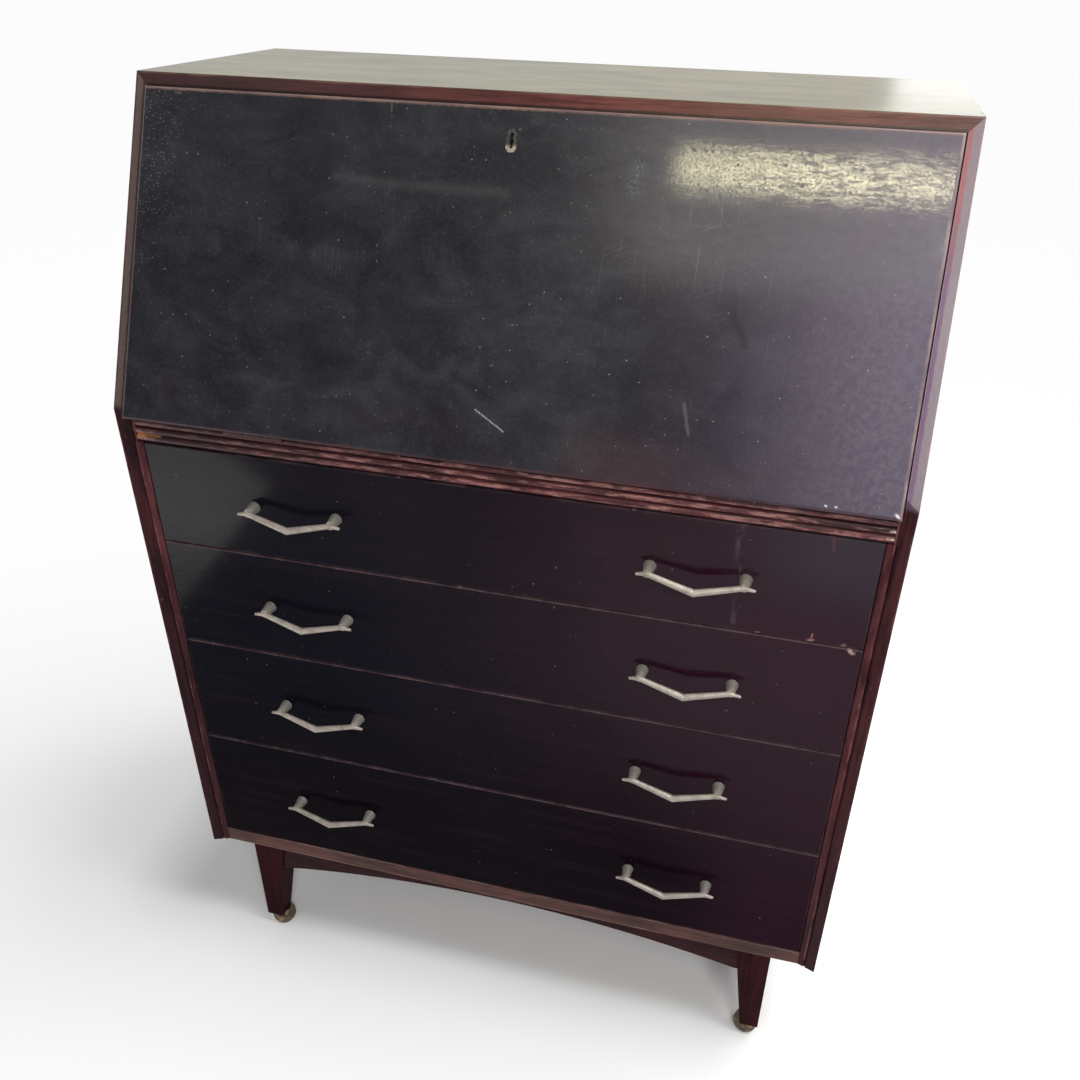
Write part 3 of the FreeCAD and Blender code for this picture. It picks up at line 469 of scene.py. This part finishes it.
    def lay_edges(self):
        """Edges rubbed to the red wood, browner at the top and paler at the sides, the right side brighter
        as a painted highlight, with chips and a painted glint at the lower right corner.
        """
        ragged = self.ragged(0.0014, 240.0)
        patchy = self.patches(0.35, 0.65, 22.0, 3.0, 0.6)
        rim = self.plus(self.least(self.side, self.bottom, self.top), ragged)
        self.red = self.times(self.fade(rim, 0.0034, 0.0006), self.outer, self.scaled(patchy, 0.35, 1.0))
        self.lay(FALL_RED, self.red, 0.6)
        brow = self.fade(self.plus(self.top, ragged), 0.0042, 0.0026)
        brow = self.most(brow, self.strokes(FALL_NICKS))
        self.lay(FALL_BROW, brow, self.outer, self.scaled(patchy, 0.4, 0.9))
        pale = self.fade(self.plus(self.side, ragged), 0.0032, 0.0016)
        # Painted highlight: the pale worn side edges are laid brighter on the right side
        right_edge_highlight = self.plus(self.times(self.fade(self.x, 0.3, 0.36), 0.5), 0.3)
        self.lay(FALL_PALE, pale, right_edge_highlight, self.outer, self.scaled(patchy, 0.35, 0.9))
        self.lay(FALL_CHIPPED_AND_GLINT, self.strokes(FALL_CHIPS_AND_GLINT), self.outer)

    def set_gloss(self):
        """A coat that is pitted, broken toward the right, and sound only high up on the slope."""
        scuffs = self.noise(520.0, 2.0, 0.7, stretch=BRUSHED)
        rough = self.plus(self.scaled(scuffs, 0.32, 0.44), self.scaled(self.smears, -0.08, 0.1))
        self.set("roughness", self.plus(rough, self.times(self.red, 0.12)))
        worn = self.most(self.red, self.times(self.dots, 0.7))
        grains = self.scaled(self.patches(0.38, 0.58, 520.0, 5.0, 0.8), 0.2, 1.0)
        broken = self.plus(self.scaled(self.fade(self.x, 0.12, 0.26), 0.95, 0.25),
                           self.patches(0.42, 0.58, 230.0, 6.0, 0.8, BRUSHED))
        pits = self.specks(130.0, 0.26, 0.16)
        sound = self.scaled(self.fade(self.rise, 0.19, 0.225), 0.12, 1.0)
        self.set("coat_weight", self.times(self.rest(worn), grains, self.clamped(broken), self.rest(pits),
                                           sound, 0.48))
        waves = self.plus(self.times(self.streaks, 0.35), self.times(self.noise(900.0, 3.0, 0.65), 0.12))
        combed = self.noise(420.0, 3.0, 0.6, stretch=(1.0, 0.06, 0.06))
        self.set("coat_normal", self.bump(self.plus(waves, self.times(combed, 0.1)), 0.0001))


class FrontLacquer(Paint):
    """Near-black lacquer of one drawer front: bluer on the left, redder on the right, the shift partly a
    painted reflection, worn at its edges.
    """

    def __init__(self, count):
        super().__init__(f"front_lacquer_{count}", shine=0.012, coat_roughness=0.1)
        self.face = self.flat(self.x, self.z)
        low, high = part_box(f"drawer_{count}_front")
        self.side, self.bottom, self.top = self.insets(high.x, self.z, low.z, high.z)
        self.outer = self.fade(self.minus(self.y, low.y), 0.005, 0.002)
        self.clouds = self.noise(8.0, 4.0, 0.6, stretch=(0.7, 1.0, 1.0), bend=0.5)
        self.lay_lacquer()
        self.lay_edges(under_drawer=count > 1)
        if count == 1:
            self.lay_first_marks()
        if count == 2:
            self.lay(FRONT_BARE, self.stroke(*SECOND_CHIP), self.outer)
        self.set_gloss()

    def lay_lacquer(self):
        # Painted reflection in part: the lacquer's tone runs from bluish at the left to reddish at the
        # right, bluer low down
        spread = self.plus(self.fade(self.x, -0.36, 0.36), self.scaled(self.clouds, -0.16, 0.16))
        self.spread = self.minus(spread, self.times(self.fade(self.z, 0.6, 0.2), 0.16))
        self.color = self.ramp(self.spread, FRONT_LACQUER_AND_REFLECTION)
        self.dull = self.times(self.fade(self.z, 0.5, 0.22), self.fade(self.x, 0.32, 0.16))
        self.lay(FRONT_DULL, self.dull, 0.8)
        self.lay(FRONT_GRAIN, self.patches(0.45, 0.75, 90.0, 3.0, 0.6, (0.06, 1.0, 1.0)), 0.25)
        dots = self.times(self.specks(45.0, 0.06, 0.1), 0.4)
        dust = self.times(self.specks(180.0, 0.16, 0.05), 0.18)
        self.lay(FRONT_DUST, self.most(dots, dust))

    def lay_edges(self, under_drawer):
        """A rubbed rim, pale losses, and a line along the top where another drawer is above."""
        ragged = self.ragged(0.0012, 260.0)
        patchy = self.patches(0.4, 0.62, 30.0, 4.0, 0.65)
        rim = self.plus(self.least(self.side, self.bottom, self.top), ragged)
        self.red = self.times(self.fade(rim, 0.0022, 0.0004), self.scaled(patchy, 0.2, 0.8), self.outer)
        self.lay(FRONT_RIM, self.red)
        if under_drawer:
            brow = self.fade(self.plus(self.top, self.times(ragged, 0.5)), 0.0016, 0.0006)
            self.lay(FRONT_BROW, brow, self.scaled(patchy, 0.3, 0.75), self.outer)
        pale = self.fade(self.plus(self.least(self.bottom, self.top), ragged), 0.001, 0.0)
        self.lay(FRONT_PALE, pale, self.patches(0.62, 0.7, 75.0, 4.0, 0.75), self.outer, 0.6)

    def lay_first_marks(self):
        """The top drawer's chips, a drip, a smeared streak and a bluish upper right."""
        self.lay(FRONT_CHIPPED, self.strokes(FIRST_CHIPS), self.outer, 0.85)
        self.lay(FRONT_DRIPPED, self.strokes(FIRST_DRIP), self.outer, 0.75)
        smeared = self.patches(0.4, 0.66, 170.0, 4.0, 0.75, (1.0, 1.0, 0.3))
        self.lay(FRONT_STREAKED, self.strokes(FIRST_STREAK), smeared, self.outer, 0.4)
        self.lay(FRONT_BLUISH, self.fade(self.x, 0.2, 0.33), self.fade(self.z, 0.62, 0.7), 0.6)

    def set_gloss(self):
        """A coat that mirrors more toward the upper right, and is never thinner than a film."""
        scuffs = self.patches(0.4, 0.7, 480.0, 2.0, 0.7, BRUSHED)
        self.set("roughness", self.plus(self.scaled(scuffs, 0.12, 0.3), self.times(self.red, 0.2)))
        gloss = self.times(self.fade(self.spread, 0.25, 0.85), self.rest(self.times(self.dull, 0.55)),
                           self.scaled(self.fade(self.z, 0.16, 0.62), 0.06, 1.0))
        film = self.times(self.scaled(self.clouds, 0.7, 1.3),
                          self.scaled(self.fade(self.z, 0.53, 0.64), 0.4, 1.0))
        self.set("coat_weight", self.most(self.times(gloss, self.rest(self.red), 0.3),
                                          self.times(film, 0.066)))
        self.bump(self.noise(40.0, 3.0, 0.5, stretch=BRUSHED), 0.0002)


class Wood(Paint):
    """Wood with fine grain along one axis, still to be given its worn places."""

    def __init__(self, name, grain, axis, shine=0.16, rough=(0.34, 0.46)):
        super().__init__(name, shine=shine)
        fine = self.noise(320.0, 4.0, 0.65, stretch=self.drawn_out(axis, GRAIN_STRETCH))
        broad = self.noise(28.0, 3.0, 0.55, stretch=self.drawn_out(axis, BROAD_GRAIN_STRETCH), bend=0.8)
        self.share = self.plus(self.times(fine, 0.55), self.times(broad, 0.45))
        self.color = self.grained(grain)
        self.set("roughness", self.scaled(fine, *rough))
        self.bump(fine, 0.00025)

    def drawn_out(self, axis, stretch):
        return tuple(stretch if name == axis else 1.0 for name in "XYZ")

    def grained(self, grain):
        """The dark and light of a wood, by its grain."""
        return self.mix(self.fade(self.share, 0.36, 0.66), *grain)


class SideWood(Wood):
    """Dark red-brown sides, dusty on the slope and partly painted with a sheen there, with rubbed arrises,
    a bead beside the groove, and painted lines of highlight and shade.
    """

    BEAD = 0.0127
    GROOVE = 0.0092
    GROOVE_LEFT = 0.0095

    def __init__(self):
        super().__init__("side_wood", SIDE_GRAIN, "Z", shine=0.06)
        low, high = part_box("right_side")
        self.inset = self.minus(high.x, self.size(self.x))
        straight = self.minus(self.y, low.y)
        sloped = self.times(self.along(OFF_SLOPE, (0.0, low.y, KNEE)), -1.0)
        self.depth = self.least(straight, sloped)
        self.fronts = self.fade(self.depth, 0.012, 0.008)
        self.slope = self.times(self.fade(self.z, KNEE - 0.003, KNEE + 0.006), self.fronts)
        self.right = self.fade(self.x, -0.1, 0.1)
        self.left = self.fade(self.x, 0.1, -0.1)
        self.shaggy = self.ragged(0.0014, 300.0, TALL_EDGE)
        self.frayed = self.minus(self.inset, self.shaggy)
        self.streaky = self.patches(0.36, 0.64, 90.0, 5.0, 0.75, (1.0, 1.0, 0.15))
        self.lay_tones()
        self.lay_lines()
        self.lay_wear()

    def lay_tones(self):
        """Calm outer faces, a dusty slope that is partly a painted sheen, and a redder inner part of the
        front edges.
        """
        self.lay(SIDE_CALM, self.fade(self.depth, 0.003, 0.012), 0.5)
        # Painted sheen in part: the slope's pale dust, brighter and more violet on the right as a painted
        # reflection
        dust = self.mix(self.right, SIDE_DUST_AND_SHEEN_LEFT, SIDE_DUST_AND_SHEEN_RIGHT)
        self.lay(dust, self.slope, self.scaled(self.share, 0.6, 1.0))
        inner = self.times(self.fade(self.inset, 0.0115, 0.0125), self.fronts)
        self.lay(SIDE_INNER, inner, self.scaled(self.streaky, 0.05, 0.75))

    def lay_lines(self):
        """Pale lines beside the groove on the right slope, partly a painted highlight, dark lines at the
        groove and the outer edge on the left as painted shade, a flat on the right edge, and painted shade
        low down.
        """
        # Painted highlight in part: pale red to violet lines beside the groove on the right slope, where
        # the gap beside the fall lies in shade
        beside = self.times(self.strip(self.frayed, self.GROOVE, 0.0026, 0.0012), self.slope, self.right)
        tone = self.mix(self.fade(self.z, 0.9, 1.0), SIDE_GROOVE_HIGHLIGHT_LOW, SIDE_GROOVE_HIGHLIGHT_HIGH)
        self.lay(tone, beside, self.scaled(self.streaky, 0.45, 0.9))
        flat = self.times(self.fade(self.inset, 0.0088, 0.0076), self.fade(self.inset, 0.0006, 0.0026))
        flat = self.times(flat, self.fronts, self.right, self.fade(self.z, KNEE, KNEE - 0.03))
        self.lay(SIDE_FLAT, flat, self.scaled(self.streaky, 0.2, 0.8))
        # Painted shade: dark lines at the groove and along the outer edge of the left slope
        lines = self.most(self.strip(self.frayed, self.GROOVE_LEFT, 0.0024, 0.001),
                          self.fade(self.frayed, 0.0024, 0.001))
        self.lay(SIDE_SHADE_LINE, lines, self.slope, self.left, 0.7)
        low_left = self.times(self.left, self.fade(self.z, 0.66, 0.5), 0.6)
        low_right = self.times(self.right, self.fade(self.z, 0.5, 0.2), 0.5)
        self.lay(SIDE_SHADED, self.most(low_left, low_right), self.fronts)
        self.set("coat_weight", self.times(self.slope, self.right, self.rest(self.times(beside, 0.7)), 0.5))
        self.set("coat_roughness", 0.38)

    def lay_wear(self):
        """Rubbed outer arrises and beads, and small chips near the front."""
        patchy = self.patches(0.44, 0.64, 55.0, 4.0, 0.7, TALL_PATCH)
        arris = self.times(self.fade(self.frayed, 0.002, 0.0004),
                           self.fade(self.plus(self.depth, self.shaggy), 0.004, 0.0012))
        bead = self.strip(self.frayed, self.BEAD, 0.0016, 0.0003)
        wear = self.times(self.most(self.times(arris, 0.6), self.times(bead, 0.8)), self.fronts, patchy)
        chips = self.times(self.patches(0.6, 0.68, 330.0, 4.0, 0.75, TALL_PATCH),
                           self.fade(self.depth, 0.008, 0.006), self.patches(0.4, 0.6, 30.0), 0.45)
        self.lay(SIDE_WORN, self.most(wear, chips), 0.6)


def top_finish():
    """The top: brown grain along its length, a front edge rubbed red, and painted shade along the lower
    part of its front lip.
    """
    wood = Wood("top_wood", TOP_GRAIN, "X", shine=0.2, rough=(0.24, 0.34))
    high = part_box("top_panel")[1]
    below = wood.minus(high.z, wood.z)
    edge = wood.fade(below, 0.0002, 0.0008)
    brown = wood.mix(wood.share, *TOP_EDGE_BROWN)
    red = wood.mix(wood.fade(wood.x, -0.3, 0.1), brown, wood.grained(TOP_EDGE_RED))
    wood.lay(red, edge)
    frayed = wood.plus(below, wood.ragged(0.001, 300.0, LONG_EDGE))
    # Painted shade: a dark line along the lower part of the front lip, above the fall
    wood.lay(TOP_LIP_SHADE, wood.fade(frayed, 0.0088, 0.0104), 0.85)
    patchy = wood.patches(0.4, 0.65, 24.0, 4.0, 0.65, LONG_PATCH)
    wood.lay(TOP_WORN, wood.fade(frayed, 0.0022, 0.0006), edge, patchy, 0.4)
    return wood.finish()


def rail_finish():
    """Red-brown reeds with rubbed crowns that are partly a painted highlight, painted shade in the valleys,
    and worn noses with a painted highlight, chipped pale at the ends.
    """
    wood = Wood("rail_wood", RAIL_GRAIN, "X")
    wood.face = wood.flat(wood.x, wood.z)
    low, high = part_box("reeded_rail")
    back = wood.minus(wood.y, low.y)
    # Painted shade: darker deep in the valleys between the reeds
    wood.lay(RAIL_VALLEY_SHADE, wood.fade(back, 0.0022, 0.0038), 0.8)
    dim = wood.fade(wood.x, 0.0, -0.3)
    wood.lay(RAIL_DIM, dim, 0.6)
    reed = (high.z - low.z) / REEDS
    second, first = low.z + reed * 1.55, low.z + reed * 0.55
    # Worn spots and a painted highlight on the noses of two reeds at the right end
    wood.lay(RAIL_NOSE_WEAR_AND_HIGHLIGHT, wood.strokes((
        ((high.x - 0.004, second), (high.x, second), 0.0016, 0.8),
        ((high.x - 0.006, first), (high.x, first), 0.0014, 0.8),
    )))
    wood.lay(RAIL_NICKED, wood.strokes(RAIL_NICKS), 0.8)
    loss, tail = low.z + reed * 0.95, low.z + reed
    wood.lay(RAIL_BARE, wood.strokes((
        ((low.x, loss), (low.x + 0.008, loss), 0.0052, 0.6),
        ((low.x + 0.008, tail), (low.x + 0.025, tail), 0.0022, 0.8),
    )))
    # Rubbed crowns, partly a painted highlight, fainter toward the left
    crown = wood.fade(wood.plus(back, wood.ragged(0.0006, 280.0, LONG_REED)), 0.0013, 0.0001)
    patchy = wood.patches(0.46, 0.6, 170.0, 6.0, 0.8, LONG_REED)
    wood.lay(RAIL_WORN_AND_HIGHLIGHT, crown, wood.scaled(patchy, 0.05, 1.0), wood.scaled(dim, 1.0, 0.45), 0.6)
    return wood.finish()


def edge_finish(name, grain, worn, piece, strength=0.7, shine=0.16):
    """Stained wood with its grain across, rubbed along the upper and lower arris of a piece's front."""
    wood = Wood(name, grain, "X", shine)
    low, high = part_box(piece)
    ends = wood.least(wood.minus(wood.z, low.z), wood.minus(high.z, wood.z))
    line = wood.fade(wood.plus(ends, wood.ragged(0.0012, 280.0, LONG_EDGE)), 0.002, 0.0004)
    front = wood.fade(wood.minus(wood.y, low.y), 0.003, 0.001)
    wood.lay(worn, line, front, wood.patches(0.4, 0.66, 25.0, 4.0, 0.65, LONG_PATCH), strength)
    return wood.finish()


def plain_wood(name, grain, axis, shine=0.25):
    """Wood that nothing has rubbed."""
    return Wood(name, grain, axis, shine, rough=(0.42, 0.56)).finish()


class Brass(Paint):
    """Dull metal, browner where it has tarnished."""

    def __init__(self, name, tones, share, rough, metallic=1.0):
        super().__init__(name, metallic=metallic)
        spots = self.noise(700.0, 3.0, 0.7)
        cover = self.plus(self.times(self.noise(110.0, 4.0, 0.65), 0.7), self.times(spots, 0.3))
        self.cover = self.fade(cover, share - 0.15, share + 0.15)
        self.color = self.mix(self.cover, *tones)
        self.set("roughness", self.scaled(self.cover, rough + 0.16, rough))
        self.bump(spots, 0.0002)


def pull_finish():
    """Grey, dull cast metal, darker on the posts than on the handled bars."""
    metal = Brass("pull_brass", PULL_METAL, share=0.45, rough=0.42, metallic=0.45)
    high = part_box("drawer_1_pulls")[1]
    post = metal.fade(metal.y, high.y - 0.0115, high.y - 0.009)
    metal.lay(PULL_POST, post, metal.scaled(metal.cover, 0.9, 0.6))
    return metal.finish()


def hinge_finish():
    """Brass leaves, with knuckles that the stain has covered."""
    paint = Paint("hinge_brass", shine=0.2)
    clouds = paint.noise(160.0, 4.0, 0.65)
    back = paint.plus(paint.y, paint.scaled(clouds, -0.001, 0.001))
    covered = paint.fade(back, HINGE.y + 0.0045, HINGE.y + 0.0035)
    paint.color = paint.mix(clouds, *HINGE_BRASS)
    paint.lay(paint.mix(clouds, *HINGE_STAIN), covered)
    paint.set("metallic", paint.scaled(covered, 1.0, 0.0))
    paint.set("roughness", paint.scaled(clouds, 0.5, 0.34))
    return paint.finish()


def liner_finish():
    """The keyhole's liner: blackened, and bare and crusted at its lower end."""
    paint = Paint("liner_brass", metallic=0.3, shine=0.2)
    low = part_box("keyhole_liner")[0]
    crust = paint.noise(600.0, 4.0, 0.7)
    rise = paint.plus(paint.minus(paint.z, low.z), paint.scaled(crust, -0.004, 0.004))
    paint.color = paint.mix(paint.fade(crust, 0.4, 0.62), *LINER_BLACK)
    paint.lay(LINER_BARE, paint.fade(rise, 0.0085, 0.0055), paint.fade(crust, 0.34, 0.5))
    paint.set("roughness", paint.scaled(crust, 0.45, 0.75))
    paint.bump(crust, 0.0004)
    return paint.finish()


def steel_finish():
    """Satin steel with fine lines."""
    paint = Paint("steel", metallic=1.0)
    lines = paint.noise(900.0, 3.0, 0.6, stretch=(1.0, 0.1, 0.1))
    paint.color = paint.mix(lines, *STEEL)
    paint.set("roughness", paint.scaled(lines, 0.3, 0.46))
    return paint.finish()


def dress(material, *names):
    for name in names:
        mesh = nodes[name].data
        mesh.materials.clear()
        mesh.materials.append(material)


def dress_case():
    """Finishes of the fall, the drawer fronts, the carcass and the stand."""
    dress(FallLacquer().finish(), "fall_panel")
    for count in DRAWERS:
        dress(FrontLacquer(count).finish(), f"drawer_{count}_front")
    dress(SideWood().finish(), "left_side", "right_side")
    dress(top_finish(), "top_panel")
    dress(rail_finish(), "reeded_rail")
    dress(edge_finish("base_wood", BASE_GRAIN, BASE_WORN, "base_panel"), "base_panel")
    dress(edge_finish("apron_wood", APRON_GRAIN, APRON_WORN, "front_apron", strength=0.5, shine=0.06),
          "front_apron", "rear_rail")
    dress(plain_wood("leg_wood", LEG_GRAIN, "Z", shine=0.025),
          "front_left_leg", "front_right_leg", "rear_left_leg", "rear_right_leg")
    dress(plain_wood("side_rail_wood", LEG_GRAIN, "Y", shine=0.025), "left_rail", "right_rail")


def dress_inside():
    """Finishes of the desk's inside, the back and the drawer boxes."""
    dress(plain_wood("inner_wood", INNER_GRAIN, "X"),
          "desk_floor", "pigeonhole_shelf", "pigeonhole_dividers")
    dress(plain_wood("back_wood", BACK_GRAIN, "Z"), "back_panel")
    box_wood = plain_wood("drawer_wood", DRAWER_GRAIN, "Y")
    dress(box_wood, "left_runners", "right_runners")
    for count in DRAWERS:
        for piece in ("left_side", "right_side", "back", "bottom"):
            dress(box_wood, f"drawer_{count}_{piece}")


def dress_fittings():
    """Finishes of the pulls, feet, lock, hinges and stays."""
    dress(pull_finish(), *(f"drawer_{count}_pulls" for count in DRAWERS))
    dress(Brass("foot_brass", FOOT_BRASS, share=0.56, rough=0.34).finish(), "feet")
    dress(Brass("lock_brass", LOCK_BRASS, share=0.5, rough=0.34).finish(),
          "lock_case", "lock_bolt", "strike_plate")
    dress(liner_finish(), "keyhole_liner")
    dress(hinge_finish(), "rail_hinge_leaves", "fall_hinge_leaves")
    dress(steel_finish(), "hinge_pins", "stay_plates", "fall_stay_brackets",
          "left_rear_arm", "right_rear_arm", "left_front_arm", "right_front_arm")


def add_camera():
    data = bpy.data.cameras.new("camera")
    data.sensor_width = SENSOR
    data.lens = LENS
    data.shift_x, data.shift_y = SHIFT
    turn = Matrix((PICTURE_RIGHT, -PICTURE_DOWN, -AHEAD)).transposed().to_4x4()
    camera = bpy.data.objects.new("camera", data)
    camera.matrix_world = Matrix.Translation(EYE) @ turn
    bpy.context.scene.collection.objects.link(camera)
    bpy.context.scene.camera = camera


def add_floor():
    """A white floor that keeps the object's shadow, and glows to white away from it."""
    corners = [(x * FLOOR_REACH, y * FLOOR_REACH, 0.0) for x, y in ((-1, -1), (1, -1), (1, 1), (-1, 1))]
    mesh = bpy.data.meshes.new("floor")
    mesh.from_pydata(corners, [], [(0, 1, 2, 3)])
    floor = bpy.data.objects.new("floor", mesh)
    bpy.context.scene.collection.objects.link(floor)
    paint = Paint("floor_white", color=FLOOR_WHITE, roughness=0.9, shine=0.0)
    beyond = [paint.most(paint.minus(paint.size(paint.minus(axis, middle)), half), 0.0)
              for axis, middle, half in zip((paint.x, paint.y), SHADOW_MIDDLE, SHADOW_HALF)]
    away = paint.add("ShaderNodeVectorMath", {0: paint.flat(*beyond)}, operation="LENGTH").outputs["Value"]
    glow = paint.plus(paint.remap(away, 0.0, SHADOW_EDGE, 0.0, GLOW_AT_EDGE),
                      paint.remap(away, SHADOW_EDGE, SHADOW_END, 0.0, GLOW_BEYOND))
    white = paint.add("ShaderNodeEmission", {"Color": WHITE, "Strength": 1.0}).outputs[0]
    shown = paint.add("ShaderNodeMixShader", {
        0: paint.times(paint.seen_rays(), glow), 1: paint.shader.outputs[0], 2: white}).outputs[0]
    paint.feed(paint.tree.nodes["Material Output"].inputs["Surface"], shown)
    mesh.materials.append(paint.material)


def light_world():
    """A white surround that is dimmer in front and above, as the far side of a room is."""
    world = bpy.data.worlds.new("studio")
    bpy.context.scene.world = world
    world.use_nodes = True
    sky = Nodes(world.node_tree)
    toward = sky.add("ShaderNodeTexCoord").outputs["Generated"]
    toward = sky.add("ShaderNodeSeparateXYZ", {0: toward}).outputs
    room = sky.times(sky.fade(toward["Y"], -0.1, -0.6), sky.fade(toward["Z"], 0.12, 0.4))
    shown = sky.fade(room, 0.0, 1.0, 1.0, 0.35)
    cast = sky.fade(room, 0.0, 1.0, 0.36, 0.34)
    level = sky.add("ShaderNodeMix", {0: sky.seen_rays(), 2: cast, 3: shown}).outputs[0]
    background = world.node_tree.nodes["Background"].inputs
    sky.feed(background["Color"], WHITE)
    sky.feed(background["Strength"], level)


def add_lamp(name, place, target, size, power, colour=WHITE, spread=180.0, roll=0.0):
    """A soft panel lamp that looks at a point, rolled about its line of sight. Watts and degrees."""
    data = bpy.data.lights.new(name, "AREA")
    data.shape = "RECTANGLE"
    data.size, data.size_y = size
    data.energy = power
    data.color = colour
    data.spread = math.radians(spread)
    lamp = bpy.data.objects.new(name, data)
    lamp.location = place
    aim = (Vector(target) - Vector(place)).to_track_quat("-Z", "Y").to_matrix()
    lamp.rotation_euler = (aim @ Matrix.Rotation(math.radians(roll), 3, "Z")).to_euler()
    lamp.visible_camera = False
    bpy.context.scene.collection.objects.link(lamp)


def add_lamps():
    """A soft overhead lamp, and four others whose mirror images show in the gloss."""
    add_lamp("key", place=(1.1, -2.25, 2.25), target=(0.3, -0.13, 0.88), size=(0.84, 0.84), power=6.2,
             spread=60.0)
    add_lamp("overhead", place=(1.3, 0.15, 3.2), target=(0.0, 0.0, 0.0), size=(2.0, 2.0), power=140.0)
    add_lamp("window", place=(0.22, -1.58, 2.29), target=(0.22, -0.085, 0.985), size=(0.74, 0.095),
             power=0.5, colour=(1.0, 0.93, 0.58), spread=40.0)
    add_lamp("doorway", place=(0.56, 2.2, 1.25), target=(0.34, 0.1, 1.04), size=(0.36, 0.2), power=1.3)
    add_lamp("panel", place=(-0.7644, -0.7157, 0.3141), target=(-0.3612, -0.1564, 0.6659),
             size=(0.265, 0.23), power=0.21, colour=(1.0, 0.985, 0.9), spread=70.0, roll=43.9)


bpy.context.scene.view_settings.view_transform = "Standard"
dress_case()
dress_inside()
dress_fittings()
add_camera()
add_floor()
light_world()
add_lamps()
